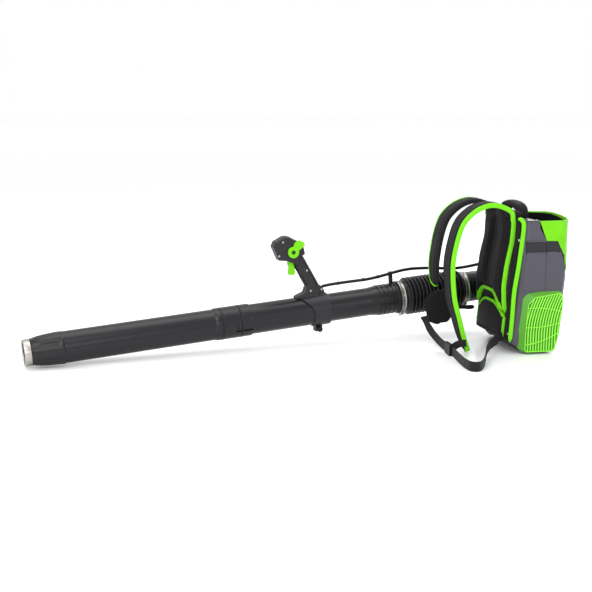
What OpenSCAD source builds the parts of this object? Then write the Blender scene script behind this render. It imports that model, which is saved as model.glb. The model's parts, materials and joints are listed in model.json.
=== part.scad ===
// Battery backpack leaf blower, stood on its base with the blower tube laid down in front.
// +Z is up, -X is the wearer's front, +Y is the wearer's right. Millimetres.
// The origin is on the flat base, in the pack's mid-plane.

/* [Pack] */
// Height of the housing's rim above the floor
pack_h = 415; // [405:1:425]
// Wall thickness of the housing shells
shell_wall = 3; // [2.5:0.5:3.5]
// How far the side covers reach from the mid-plane
cover_reach = 152; // [150:1:155]
// Inner radius of the fan duct
duct_r = 51.5; // [51:0.5:52]
// Width of the battery across the pack
battery_w = 184; // [170:2:186]
// Height of the battery
battery_h = 150; // [130:5:155]

/* [Blower tube] */
// Outer diameter of the swivel tube
swivel_tube_d = 90; // [88:0.5:91]
// Outer diameter of the nozzle tube
nozzle_tube_d = 96; // [94:0.5:98]
// Outer diameter of the bellows hose
bellows_d = 128; // [122:2:130]

/* [Handle] */
// Width of the grip from side to side
grip_w = 36; // [34:1:38]
// Depth of the grip from front to back
grip_depth = 43; // [40:1:44]
// Diameter of the cruise dial
dial_d = 36; // [30:1:38]

/* [Harness] */
// Width of a shoulder strap
strap_w = 72; // [64:2:74]
// Thickness of a shoulder strap
strap_t = 15; // [12:1:16]
// Width of the waist webbing
webbing_w = 30; // [25:1:32]
// Thickness of the waist webbing
webbing_t = 2.4; // [2:0.2:3]
// Diameter of the control cable
cable_d = 9; // [7:1:9]

/* [Hidden] */
$fn = 64;
tube_yaw = 8;        // turn of the tube towards the wearer's left, in degrees
tube_pitch = 4.4;    // fall of the tube towards its tip, in degrees
main_tube_d = 94;
nozzle_ring_d = 80;  // standard spigot for slip-on nozzles
gap = 0.3;      // clearance between parts that move past each other
run = 0.08;     // radial clearance of a running fit

// Colours
grey = [0.24, 0.24, 0.26];
black = [0.09, 0.09, 0.10];
cloth = [0.13, 0.13, 0.15];
lime = [0.40, 0.85, 0.10];
steel = [0.75, 0.76, 0.78];
copper = [0.72, 0.42, 0.22];

// ---------------------------------------------------------------- shared maths
function unit(v) = v / norm(v);
function curve(a, b, c, d, t) = 0.5 * (2 * b + (c - a) * t + (2 * a - 5 * b + 4 * c - d) * t * t
    + (3 * b - a - 3 * c + d) * t * t * t);
// A smooth run of points through the points p, with n steps between each two
function smooth(p, n) = [
    for (i = [0 : len(p) - 2]) for (k = [0 : n - 1])
        curve(p[max(i - 1, 0)], p[i], p[i + 1], p[min(i + 2, len(p) - 1)], k / n),
    p[len(p) - 1]];
function tangent(p, i) = unit(p[min(i + 1, len(p) - 1)] - p[max(i - 1, 0)]);
// The outline p drawn in by g on every side, about its own middle
function inset(p, g) = let (
    lo = [min([for (q = p) q.x]), min([for (q = p) q.y])],
    hi = [max([for (q = p) q.x]), max([for (q = p) q.y])],
    mid = (lo + hi) / 2, size = hi - lo)
    [for (q = p) [mid.x + (q.x - mid.x) * (1 - 2 * g / size.x),
                  mid.y + (q.y - mid.y) * (1 - 2 * g / size.y)]];

// Triangles between n rings of m points, closed at both ends
function ring_faces(n, m) = concat(
    [[for (k = [m - 1 : -1 : 0]) k]],
    [for (i = [0 : n - 2]) for (k = [0 : m - 1]) let (next = (k + 1) % m)
        each [[i * m + k, (i + 1) * m + next, (i + 1) * m + k],
              [i * m + k, i * m + next, (i + 1) * m + next]]],
    [[for (k = [0 : m - 1]) (n - 1) * m + k]]);

function places(route) = [for (p = route) [p.x, p.y, p.z]];
// A flat band of thickness t along path, widths[i] wide at its point i in the direction across
module band(path, across, widths, t) {
    points = [for (i = [0 : len(path) - 1]) let (
        along = tangent(path, i),
        side = unit(across - along * (across * along)) * widths[i] / 2,
        out = cross(along, unit(side)) * t / 2)
        each [path[i] - side - out, path[i] - side + out, path[i] + side + out, path[i] + side - out]];
    polyhedron(points, ring_faces(len(path), 4));
}

// A round cord of diameter d along path, which never runs along the direction ref
module cord(path, d, sides = 8, ref = [0, 0, 1]) {
    points = [for (i = [0 : len(path) - 1]) let (
        along = tangent(path, i),
        side = unit(cross(along, ref)),
        out = cross(along, side))
        each [for (k = [0 : sides - 1]) path[i]
            + (side * cos(-360 * k / sides) + out * sin(-360 * k / sides)) * d / 2]];
    polyhedron(points, ring_faces(len(path), sides));
}

module lathe(profile) rotate_extrude($fn = 96) polygon(profile);
module pipe(r_out, r_in, length) lathe([[r_in, 0], [r_out, 0], [r_out, length], [r_in, length]]);
// Children drawn in the X-Z plane, extruded across the pack from y0 to y1
module across_pack(y0, y1) translate([0, y1, 0]) rotate([90, 0, 0]) linear_extrude(y1 - y0) children();

// ---------------------------------------------------------------- housing
z_scale = pack_h / 415;
side_outline = [for (p = [[-46, 4], [-90, 38], [-56, 415], [70, 415], [82, 388], [86, 330],
    [84, 268], [70, 166], [56, 60], [40, 14], [30, 4]]) [p.x, p.y * z_scale]];
end_half = [for (p = [[126, 4], [134, 16], [139, 60], [141, 190], [141, 308], [136, 320],
    [136, 348], [145, 357], [145, 404], [139, 415]]) [p.x, p.y * z_scale]];
end_outline = concat(end_half,
    [for (i = [len(end_half) - 1 : -1 : 0]) [-end_half[i].x, end_half[i].y]]);
lean = 5.15;             // lean of the pack's front face, in degrees
front_corner_r = 22;
rear_corner_r = 48;
rear_x = 86;
split_x = 13;            // seam between the front and rear shells
hood_outline = [[-12, 440], [-12, 394], [12, 352], [40, 350], [58, 337], [72, 306], [79, 262],
    [110, 240], [110, 440]];
cover_outline = [[-70, 186], [-60, 198], [55, 198], [64, 190], [65, 158], [58, 106], [42, 26],
    [26, 7], [-50, 7], [-79, 50]];
rim_w = 126;             // half width of the opening in the rim

// A rounded rectangle from x0 to x1 and half as wide as w each way
module round_plan(x0, x1, w, r) {
    translate([x0 + r, -w]) square([x1 - x0 - 2 * r, 2 * w]);
    translate([x0, r - w]) square([x1 - x0, 2 * (w - r)]);
    for (x = [x0 + r, x1 - r], y = [r - w, w - r]) translate([x, y]) circle(r);
}

// The closed outer form of the housing, drawn in by g
module pack_form(g = 0) {
    intersection() {
        across_pack(-160, 160) polygon(inset(side_outline, g));
        rotate([90, 0, 90]) translate([0, 0, -120]) linear_extrude(240) polygon(inset(end_outline, g));
        translate([0, 0, -20]) linear_extrude(pack_h + 60)
            round_plan(-160, rear_x - g, 146 - g, rear_corner_r);
        rotate([0, lean, 0]) translate([0, 0, -60]) linear_extrude(pack_h + 120)
            round_plan(-93.5 + g, 150, 146 - g, front_corner_r);
    }
}

module rim_opening() translate([0, 0, pack_h - 40]) linear_extrude(60) round_plan(-22, 63, rim_w, 26);

// Where the duct leaves the pack on the wearer's right
fan_x = -14;
fan_z = 165;
module on_fan() translate([fan_x, 0, fan_z]) rotate([-90, 0, 0]) children();

module intake_windows() {
    across_pack(-160, -100) polygon(inset(cover_outline, 12));
    on_fan() translate([0, 0, 100]) cylinder(r = 50.3, h = 60);
    across_pack(100, 160) polygon([[-50, 92], [-58, 52], [-40, 20], [20, 20], [48, 92]]);
}

module cable_hole() translate([-42, 100, 252]) rotate([-90, 0, 0]) cylinder(r = 7, h = 60);

module housing() {
    difference() {
        pack_form();
        pack_form(shell_wall);
        rim_opening();
        intake_windows();
        cable_hole();
    }
}

shell_screw_spots = [for (y = [-112, 112], z = [60, 234]) [y, z]];
hood_screw_spots = [[-112, 330], [112, 330]];
screw_spots = concat(shell_screw_spots, hood_screw_spots);
module screw_columns(spots, r, x0, x1) for (s = spots)
    translate([x0, s.x, s.y]) rotate([0, 90, 0]) cylinder(r = r, h = x1 - x0);
screw_seat = 21;         // X of the seats under the screw heads, deep in their wells

module half_space(x0, x1) translate([x0, -200, -10]) cube([x1 - x0, 400, pack_h + 60]);
module hood_zone() across_pack(-170, 170) polygon(hood_outline);

module front_shell() color(grey) difference() {
    union() {
        intersection() { housing(); half_space(-200, split_x); }
        intersection() { pack_form(1); screw_columns(screw_spots, 6.5, -100, split_x); }
    }
    hood_zone();
    screw_columns(screw_spots, 2, -8, 20);
    elbow_screw_holes();
}

module rear_shell() color(grey) difference() {
    union() {
        intersection() { housing(); half_space(split_x, 200); }
        intersection() { pack_form(1); screw_columns(shell_screw_spots, 6.5, split_x, 100); }
    }
    hood_zone();
    screw_columns(screw_spots, 2, 0, 40);
    screw_columns(screw_spots, 4.3, screw_seat, 120);
    elbow_screw_holes();
}

module upper_hood() color(lime) difference() {
    union() {
        intersection() { housing(); hood_zone(); }
        intersection() { pack_form(1); screw_columns(hood_screw_spots, 6.5, split_x, 100); }
    }
    screw_columns(screw_spots, 2, 0, 40);
    screw_columns(screw_spots, 4.3, screw_seat, 120);
}

module cover_form(g) intersection() {
    across_pack(60, 200) polygon(inset(cover_outline, g));
    translate([0, 0, -20]) linear_extrude(260)
        polygon([[-90, 60], [-90, 133 - g], [-44 + g / 2, cover_reach - g], [46 - g, cover_reach - g],
            [76, 126 - g], [76, 60]]);
}

slat_count = 12;
grille_x0 = -42;
grille_x1 = 54;
slot_w = 5.4;

// The raked slots of a grille, in three rows between its cross bars
module grille_slots() {
    pitch = (grille_x1 - grille_x0) / slat_count;
    for (row = [[16, 56], [60, 104], [108, 172]]) for (i = [0 : slat_count - 1])
        let (x = grille_x0 + pitch * (i + 0.5), rake = 0.11, bend = 0.0022)
            across_pack(120, 200) intersection() {
                polygon([for (s = [-1, 1]) for (k = [0 : 4]) let (
                    z = row[0] + (row[1] - row[0]) * (s < 0 ? k : 4 - k) / 4)
                    [x - 8 + rake * z + bend * pow(max(z - 100, 0), 2) / 2 + s * slot_w / 2, z]]);
                polygon(inset(cover_outline, 9));
            }
}

module cover_right_half() difference() {
    cover_form(0);
    cover_form(2.5);
    pack_form();
    grille_slots();
}

module side_cover_left() color(lime) mirror([0, 1, 0]) cover_right_half();
module side_cover_right() color(lime) difference() {
    cover_right_half();
    on_fan() cylinder(r = 62, h = 200);
}

// Screws that draw the rear shell onto the front shell
module shell_screws() color(steel) for (s = screw_spots)
    translate([screw_seat, s.x, s.y]) rotate([0, 90, 0]) {
        translate([0, 0, -26]) cylinder(r = 2, h = 27);
        difference() {
            cylinder(r = 4, h = 3);
            translate([0, 0, 1.2]) cylinder(r = 1.8, h = 3);
        }
    }

module base_pad() color(black) difference() {
    translate([-44, -118, 0]) cube([72, 236, 4]);
    for (y = [-60, 60]) translate([-30, y - 40, 1.5]) cube([44, 80, 4]);
}

// ---------------------------------------------------------------- battery and electronics
bay_x0 = -26;
bay_len = 88;
bay_w = 196;
bay_z = 224;
bay_h = 168;
module battery_bay() color(black) difference() {
    translate([bay_x0, -bay_w / 2, bay_z]) cube([bay_len, bay_w, bay_h]);
    translate([bay_x0 + 4, 4 - bay_w / 2, bay_z + 4]) cube([bay_len - 8, bay_w - 8, bay_h]);
    for (x = [bay_x0 + 2, bay_x0 + bay_len - 5]) for (y = [-50, 50])
        translate([x, y - 4, bay_z + 20]) cube([3, 8, bay_h]);
}

module terminal_block() color(black) {
    translate([-12, -34, bay_z + 4]) cube([36, 68, 5]);
    color(copper) for (y = [-24, -8, 8, 24]) translate([-6, y - 1, bay_z + 9]) cube([24, 2, 9]);
}

battery_z = bay_z + 19;
battery_x0 = bay_x0 + 6;
battery_len = bay_len - 12;
battery_top = battery_z + battery_h;
module battery_case() color(black) difference() {
    union() {
        translate([battery_x0, -battery_w / 2, battery_z]) cube([battery_len, battery_w, battery_h]);
        // Carry bar over the hand recess
        translate([battery_x0 + 19, -60, battery_top - 2]) cube([18, 120, 16]);
    }
    translate([battery_x0 + 6, -44, battery_top - 30]) cube([44, 88, 34]);
    for (y = [-24, -8, 8, 24]) translate([-8, y - 2, battery_z - 1]) cube([28, 4, 12]);
    translate([battery_x0 + latch_x, -16, battery_top - 14]) cube([latch_len, 32, 20]);
}

latch_x = 56;
latch_len = 13;
module battery_latch() color(lime) translate([battery_x0 + latch_x + gap, -16 + gap, battery_top - 9])
    cube([latch_len - 2 * gap, 32 - 2 * gap, 15]);

module controller_board() color([0.10, 0.32, 0.16]) {
    translate([46, -70, 66]) cube([2, 140, 96]);
    color(black) for (y = [-50, -20, 10, 40]) translate([40, y, 80]) cube([6, 16, 22]);
}
module heat_sink() color(steel) {
    translate([48, -60, 112]) cube([3, 120, 46]);
    for (i = [0 : 9]) translate([51, -58 + i * 12.5, 112]) cube([7, 3, 46]);
}

// ---------------------------------------------------------------- fan
shaft_r = 4;
bearing_r = 9;
hub_r = 27;
module fan_duct() color(black) on_fan() {
    translate([0, 0, -62]) pipe(duct_r + 2.5, duct_r, 196);
    difference() {
        union() {
            translate([0, 0, -4]) pipe(hub_r, hub_r - 3, 62);
            translate([0, 0, 12]) intersection() {
                for (i = [0 : 6]) rotate([0, 0, i * 360 / 7]) translate([hub_r - 1, -1.2, 0])
                    cube([duct_r - hub_r + 2, 2.4, 42]);
                cylinder(r = duct_r + 0.5, h = 60);
            }
        }
        translate([0, 0, -10]) cylinder(r = hub_r - 3, h = 80);
    }
    // Bulkhead that holds the front bearing
    translate([0, 0, -4]) pipe(hub_r - 2, bearing_r, 5);
}

// Flared mouth of the duct: a runs from the lip at 0 to the pipe at 90 degrees
function bell_edge(a, r) = [r + 4.4 * (1 - sin(a)), -62 - 13 * cos(a)];
module inlet_bell() color(black) on_fan() lathe(concat(
    [for (a = [0 : 15 : 90]) bell_edge(a, duct_r + 2.5)],
    [for (a = [90 : -15 : 0]) bell_edge(a, duct_r)]));

module motor_end_cap() color(grey) on_fan() translate([0, 0, 58]) {
    lathe([[bearing_r, -6], [hub_r - 3, -6], [hub_r - 3, 0], [hub_r, 0], [hub_r - 4, 14], [15, 24], [0, 27],
        [0, 23], [bearing_r, 20]]);
}

module motor_stator() color(copper) on_fan() difference() {
    translate([0, 0, 6]) cylinder(r = hub_r - 3, h = 38);
    translate([0, 0, 5]) cylinder(r = 14.5, h = 40);
    for (i = [0 : 11]) rotate([0, 0, i * 30]) translate([16, -1.5, 5]) cube([6, 3, 40]);
}

module motor_bearings() color(steel) on_fan() for (z = [-4, 60])
    translate([0, 0, z]) pipe(bearing_r, shaft_r + run, 6);

module motor_rotor() color(steel) on_fan() translate([0, 0, 8]) pipe(14, shaft_r, 34);
module fan_shaft() color(steel) on_fan() translate([0, 0, -61.5]) cylinder(r = shaft_r, h = 129.5);

blade_count = 9;
module impeller() color(black) on_fan() difference() {
    union() {
        translate([0, 0, -44]) lathe([[0, -12], [10, -10], [20, -4], [hub_r, 6], [hub_r, 36],
            [hub_r - 4, 36], [hub_r - 4, 10], [0, 10]]);
        intersection() {
            for (i = [0 : blade_count - 1]) rotate([0, 0, i * 360 / blade_count])
                translate([hub_r - 2, 0, -24]) rotate([38, 0, 0]) translate([0, -1.2, -18])
                    cube([duct_r - hub_r + 3, 2.4, 36]);
            translate([0, 0, -60]) pipe(duct_r - 1, hub_r - 2, 80);
        }
    }
    translate([0, 0, -70]) cylinder(r = shaft_r, h = 80);
    translate([0, 0, -70]) cylinder(r = 8, h = 16);
}
module impeller_nut() color(steel) on_fan() translate([0, 0, -60]) difference() {
    cylinder(r = 7, h = 6, $fn = 6);
    translate([0, 0, -1]) cylinder(r = shaft_r, h = 8);
}

// ---------------------------------------------------------------- blower tube
// Local frame of the tube: z runs from the pack towards the tip, x is up, y is the wearer's right
hose_root = [-136, 197, 156];
module on_tube(s = 0) translate(hose_root) rotate([0, 90 + tube_pitch, 180 + tube_yaw])
    rotate([0, 0, 180]) translate([0, 0, s]) children();
// Children drawn as (distance along the tube, height over its axis), extruded across it
module tube_side(w) rotate([0, -90, -90]) linear_extrude(w, center = true) children();

cuff_r = 49.9;           // the elbow and the swivel tube where the hose grips them
elbow_bend_r = 62;
elbow_straight = 52;
elbow_turn = 98;

// Centre line of the elbow in the tube's frame, from the hose to the fan duct, longer by extra at both ends
function elbow_path(extra) = concat(
    [[0, 0, 8 + extra]],
    [for (k = [0 : 10]) let (a = elbow_turn * k / 10)
        [0, elbow_bend_r * (cos(a) - 1), -elbow_straight - elbow_bend_r * sin(a)]],
    [let (a = elbow_turn) [0, elbow_bend_r * (cos(a) - 1) - (6 + extra) * sin(a),
        -elbow_straight - elbow_bend_r * sin(a) - (6 + extra) * cos(a)]]);
module elbow_body(r, extra) on_tube() cord(elbow_path(extra), 2 * r, 32, [1, 0, 0]);

module outlet_elbow() color(black) difference() {
    union() {
        elbow_body(cuff_r, 0);
        on_fan() translate([0, 0, flange_y]) cylinder(r = 60, h = 5);
    }
    elbow_body(cuff_r - 3, 4);
    elbow_screw_holes();
}
flange_y = 141;          // the elbow's flange lies on the pack's right side
module on_elbow_screws() for (a = [45 : 90 : 315]) on_fan() rotate([0, 0, a]) translate([55, 0, 0]) children();
module elbow_screw_holes() on_elbow_screws() translate([0, 0, 130]) cylinder(r = 2, h = 20);
module elbow_screws() color(steel) on_elbow_screws() {
    translate([0, 0, 134.5]) cylinder(r = 2, h = flange_y + 6 - 134.5);
    translate([0, 0, flange_y + 5]) difference() {
        cylinder(r = 3.6, h = 3);
        translate([0, 0, 1.6]) cylinder(r = 1.6, h = 3);
    }
}

module clamp_band(s) color(steel) on_tube(s - 7) difference() {
    union() {
        pipe(53.2, 52.1, 14);
        rotate([0, 0, 200]) translate([52.6, -9, 1]) cube([7.5, 18, 12]);
    }
    cylinder(r = 52.1, h = 20, center = true);
    rotate([0, 0, 200]) translate([56.6, -12, 7]) rotate([-90, 0, 0]) cylinder(r = 2.6, h = 26);
}
module clamp_screw(s) color(steel) on_tube(s - 7) rotate([0, 0, 200]) translate([56.6, -12, 7])
    rotate([-90, 0, 0]) {
        cylinder(r = 2.5, h = 22);
        translate([0, 0, -5]) cylinder(r = 4.6, h = 5, $fn = 6);
    }
rear_clamp_s = 1;
front_clamp_s = 232;
module rear_clamp_band() clamp_band(rear_clamp_s);
module rear_clamp_screw() clamp_screw(rear_clamp_s);
module front_clamp_band() clamp_band(front_clamp_s);
module front_clamp_screw() clamp_screw(front_clamp_s);

// The wavy wall of a hose from s0 to s1 with n folds, as outer points then inner points
bellows_t = 2.2;
function folds(s0, s1, n, shift) = [for (k = [0 : 2 * n]) [
    (k % 2 == 0 ? cuff_r + 3 : bellows_d / 2) - shift, s0 + (s1 - s0) * k / (2 * n)]];
function reversed(p) = [for (i = [len(p) - 1 : -1 : 0]) p[i]];

module bellows_rear() color(black) on_tube() lathe(concat(
    [[52, -12], [52, 10]], folds(12, 102, 5, 0),
    reversed(folds(12, 102, 5, bellows_t)), [[50, 10], [50, -12]]));
module bellows_middle() color(black) on_tube() lathe(concat(
    folds(102.4, 119.6, 1, 0), reversed(folds(102.4, 119.6, 1, bellows_t))));
module bellows_front() color(black) on_tube() lathe(concat(
    folds(120, 212, 5, 0), [[52, 216], [52, 242], [50, 242], [50, 216]],
    reversed(folds(120, 212, 5, bellows_t))));

swivel_r = swivel_tube_d / 2;
ridge_s = [260 : 16 : 308];
module swivel_tube() color(grey) on_tube() {
    lathe([[46, 214], [cuff_r, 214], [cuff_r, 246], [47.5, 250], [47.5, 318], [swivel_r, 340],
        [swivel_r, 600], [swivel_r - 2.5, 600], [swivel_r - 2.5, 340], [45, 318], [45, 240]]);
    for (s = ridge_s) translate([0, 0, s - 4]) pipe(49.5, 47, 8);
}

main_r = main_tube_d / 2;
lock_s = 800;            // bayonet pins between the main tube and the nozzle tube
module main_tube() color(grey) on_tube() {
    translate([0, 0, 486]) pipe(main_r, swivel_r, 372);
    for (a = [90, 270]) rotate([0, 0, a]) translate([main_r - 1, 0, lock_s]) rotate([0, 90, 0])
        cylinder(r = 3.5, h = 4);
}

nozzle_r = nozzle_tube_d / 2;
ring_r = nozzle_ring_d / 2;
ring_s = 1426;
tip_s = 1447;
bayonet_turn = 25;
module bayonet_slot() {
    for (a = [0 : 2.5 : bayonet_turn]) rotate([0, 0, -a]) translate([40, 0, lock_s]) rotate([0, 90, 0])
        cylinder(r = 4, h = 20);
    rotate([0, 0, -bayonet_turn]) translate([40, -4, 740]) cube([20, 8, lock_s - 740]);
}
// Scooped flutes round the tapered end
module flutes() for (i = [0 : 5]) rotate([0, 0, i * 60]) translate([54.5, 0, 1344])
    rotate([0, -4, 0]) {
        sphere(r = 9);
        cylinder(r = 9, h = 100);
    }
module nozzle_tube() color(grey) on_tube() difference() {
    lathe([[main_r + run, 748], [50, 748], [50.5, 752], [50.5, 778], [49.4, 780], [49.4, 784], [50.5, 786],
        [50.5, 838], [49.4, 840], [49.4, 844], [50.5, 846], [50.5, 858], [nozzle_r, 866],
        [nozzle_r, 1334], [47.6, 1352], [46, 1378], [43.4, 1402], [40.6, 1416], [39, 1421], [39, ring_s],
        [38, ring_s], [38, 1444], [34.5, 1444], [34.5, 1420], [42, 1350], [nozzle_r - 2.5, 1310],
        [nozzle_r - 2.5, 861], [main_r + run, 861]]);
    flutes();
    for (a = [90, 270]) rotate([0, 0, a]) bayonet_slot();
}
module nozzle_ring() color(steel) on_tube(ring_s)
    lathe([[38, 0], [ring_r, 0], [ring_r, 20], [39, tip_s - ring_s], [36, 21], [36, 18.5], [38, 18.5]]);

// ---------------------------------------------------------------- control handle
grip_rake = 25.5;        // lean of the grip towards the tip
collar_r = 51.5;
head_outline = [[654, 220], [646, 235], [616, 248], [601, 248], [570, 229], [554, 213], [550, 186],
    [566, 176], [576, 150], [590, 160], [610, 170], [638, 175]];
pivot = [600, 178];      // trigger pivot in the handle's side view
dial_at = [592, 197];
knob_at = [520, -62];     // clamp bolt, under the collar

module stadium(depth, w) {
    square([depth - w, w], center = true);
    for (x = [-1, 1]) translate([x * (depth - w) / 2, 0]) circle(w / 2);
}
module grip_bar(g) on_tube() translate([40, 0, 511]) rotate([0, 90 - grip_rake, 0])
    rotate([0, 0, 180]) translate([0, 0, 12]) linear_extrude(132) stadium(grip_depth - 2 * g, grip_w - 2 * g);

module head(g) on_tube() {
    tube_side(grip_w + 4 - 2 * g) polygon(inset(head_outline, g + 3));
    tube_side(grip_w - 4 - 2 * g) polygon(inset(head_outline, g));
}
module collar_form() on_tube() {
    translate([0, 0, 484]) cylinder(r = collar_r, h = 59);
    intersection() {
        translate([0, 0, 500]) cylinder(r = collar_r, h = 92);
        tube_side(120) polygon([[484, 70], [592, 70], [582, 50], [564, 34], [548, 16], [543, 0], [484, 0]]);
    }
    // Fillet block under the grip
    tube_side(grip_w - 4) polygon([[494, 44], [494, 62], [506, 80], [552, 80], [560, 62], [590, 52], [590, 44]]);
    // Ears that the clamp bolt draws together
    tube_side(26) polygon([[510, -46], [508, -50], [508, -70], [532, -70], [532, -50], [530, -46]]);
}
module handle_hollow() {
    difference() {
        union() { grip_bar(4); head(4); }
        // Bosses that the screws run into
        on_tube() for (s = handle_screw_spots)
            translate([s.y, 0, s.x]) rotate([90, 0, 0]) cylinder(r = 4.4, h = 60, center = true);
    }
    // Slot that the trigger swings in
    on_tube() tube_side(14) polygon([[578, 176], [562, 112], [600, 112], [626, 172], [600, 190]]);
}
module handle_cuts() {
    on_tube() {
        translate([0, 0, 400]) cylinder(r = main_r + run, h = 300);
        // Split under the collar, and the clamp bolt's hole
        translate([-80, -1, 480]) cube([40, 2, 70]);
        translate([knob_at.y, 0, knob_at.x]) rotate([90, 0, 0]) cylinder(r = 3 + run, h = 60, center = true);
        // Cable outlet at the back of the grip
        translate([72, 0, 480]) cylinder(r = cable_d / 2 + 0.4, h = 36);
        // Bore of the cruise dial and of the trigger pin
        translate([dial_at.y, -30, dial_at.x]) rotate([-90, 0, 0]) cylinder(r = 5, h = 20);
        translate([pivot.y, 0, pivot.x]) rotate([90, 0, 0]) cylinder(r = 3 + run, h = 37, center = true);
        for (s = handle_screw_spots) translate([s.y, -30, s.x]) rotate([-90, 0, 0]) cylinder(r = 1.7, h = 44);
        for (s = handle_screw_spots) translate([s.y, -40, s.x]) rotate([-90, 0, 0])
            cylinder(r = 3.4, h = 40 - screw_head_y(s));
    }
}
handle_screw_spots = [[549, 133], [541, 66], [504, 66], [638, 190], [622, 232]];
function screw_head_y(s) = grip_w / 2 - (s.y > 200 || s.x > 630 ? 1 : 3);

module handle_half(sign) color(grey) difference() {
    union() { grip_bar(0); head(0); collar_form(); }
    handle_hollow();
    handle_cuts();
    on_tube(300) translate([-100, sign > 0 ? -200 : 0, 0]) cube([400, 200, 500]);
}
module handle_left() handle_half(-1);
module handle_right() handle_half(1);
module handle_screws() color(steel) on_tube() for (s = handle_screw_spots)
    translate([s.y, -screw_head_y(s), s.x]) rotate([-90, 0, 0]) {
        cylinder(r = 1.7, h = screw_head_y(s) + 13);
        translate([0, 0, -2.4]) difference() {
            cylinder(r = 3.2, h = 2.4);
            translate([0, 0, -1]) cylinder(r = 1.5, h = 2.2);
        }
    }

module throttle_switch() color(black) on_tube() {
    translate([186, -8, 604]) cube([18, 16, 26]);
    translate([179, -4, 610]) cube([7, 8, 5]);
}

// Green trigger blade on its pivot, with the finger curve in front
module trigger() color(lime) on_tube() {
    tube_side(12) difference() {
        union() {
            polygon([[606, 178], [606, 124], [588, 122], [584, 132], [586, 150], [593, 178]]);
            translate(pivot) circle(7);
        }
        translate([619, 146]) circle(16);
    }
    translate([pivot.y, 0, pivot.x]) rotate([90, 0, 0]) cylinder(r = 3, h = 36, center = true);
}

module cruise_lever() color(lime) on_tube() {
    translate([dial_at.y, -grip_w / 2 - 2 - gap, dial_at.x]) rotate([90, 0, 0]) {
        difference() {
            cylinder(r = dial_d / 2, h = 7);
            translate([0, 0, 5]) cylinder(r = 6.5, h = 4);
        }
        translate([0, 0, -18]) cylinder(r = 5 - run, h = 19);
    }
    translate([0, -grip_w / 2 - 5.8, 0]) tube_side(7) polygon([[588, 212], [575, 200], [563, 208],
        [552, 216], [556, 226], [570, 234], [586, 226], [590, 216]]);
}

// Knurled knob and bolt that draw the collar's ears together
module clamp_knob() color(black) on_tube() translate([knob_at.y, 0, knob_at.x]) rotate([90, 0, 0]) {
    cylinder(r = 3, h = 28, center = true);
    translate([0, 0, 13.5]) difference() {
        cylinder(r = 9, h = 10);
        for (i = [0 : 7]) rotate([0, 0, i * 45]) translate([10, 0, -1]) cylinder(r = 2.2, h = 12);
    }
}

// ---------------------------------------------------------------- control cable
// Route in the tube's frame: height over the axis, offset across it, distance along it
cable_front_route = [[72, 0, 496], [74, 0, 470], [74.5, 0, 440], [74.5, 0, 400], [74, 0, 360],
    [74.5, 0, 330], [77, 0, 300], [80, 0, 274], [82.5, 0, 262]];
cable_middle_route = [[82.5, 0, 249.4], [85, 0, 236], [87.5, 0, 210], [88, 0, 180], [86, 0, 150],
    [83, 0, 120]];
cable_rear_route = [[83, 0, 119.6], [79, 0, 90], [74, 0, 60], [70, -1, 30], [69, -3, 0],
    [71, -8, -30], [75, -16, -58], [80, -26, -80], [84, -35, -92], [86, -45, -94]];
module cable(route) color(black) on_tube() cord(smooth(route, 3), cable_d);
module cable_front() cable(cable_front_route);
module cable_middle() cable(cable_middle_route);
module cable_rear() cable(cable_rear_route);

module cable_clip() color(black) on_tube() {
    difference() {
        union() {
            translate([82.5, 0, 250]) cylinder(r = cable_d / 2 + 2.5, h = 11.4);
            translate([47, -5, 250]) cube([31, 10, 11.4]);
        }
        cylinder(r = 49.5, h = 300);
        translate([82.5, 0, 240]) cylinder(r = cable_d / 2 + 0.2, h = 30);
    }
}

// Rubber gland where the cable enters the pack
module cable_gland() color(black) translate([-42, 141, 252]) rotate([-90, 0, 0]) {
    lathe([[cable_d / 2 + 0.1, -6], [6.9, -6], [6.9, 0], [10, 0], [10, 3], [6, 14],
        [cable_d / 2 + 0.1, 14]]);
}

// ---------------------------------------------------------------- harness
// Front face of the pack, drawn from its foot upwards with x pointing out of the back
module on_back() translate([-90, 0, 38]) rotate([0, lean, 0]) children();
module harness_frame() color(black) on_back() difference() {
    translate([-6, -112, 6]) cube([4, 224, 356]);
    for (y = [-72, 0, 72], z = [60, 160, 260]) translate([-8, y - 24, z]) cube([8, 48, 70]);
}

// Back pad: a wide rear panel against the frame and a narrower cushion block in front of it
cushion_w = 216;
panel_w = 264;
cushion_outline = [[-60, 427], [-94, 427], [-90, 398], [-93, 350], [-111, 270], [-119, 210], [-119, 163],
    [-110, 121], [-117, 104], [-119, 52], [-108, 40], [-97.5, 42]];
module back_pad() color(cloth) difference() {
    union() {
        across_pack(-cushion_w / 2, cushion_w / 2) polygon(cushion_outline);
        on_back() translate([-18, -panel_w / 2, 4]) cube([11.5, panel_w, 374]);
    }
    // Air channel down the middle
    translate([-184, -16, 160]) rotate([0, lean, 0]) cube([80, 32, 240]);
    on_back() translate([-6.5, -150, -40]) cube([60, 300, 600]);
}

module pad_rivets() color(steel) for (y = [-1, 1], z = [26, 166, 318])
    on_back() translate([-12.5, y * panel_w / 2, z]) rotate([-90 * y, 0, 0]) cylinder(r = 4, h = 2.5);

module grab_handle() color(black) translate([-39, 0, pack_h]) {
    for (y = [-62, 62]) translate([-6, y - 9, 0]) cube([12, 18, 32]);
    translate([0, 0, 38]) rotate([90, 0, 0]) cylinder(r = 13, h = 124, center = true);
    for (y = [-62, 62]) translate([0, y, 38]) sphere(r = 13);
}

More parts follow.
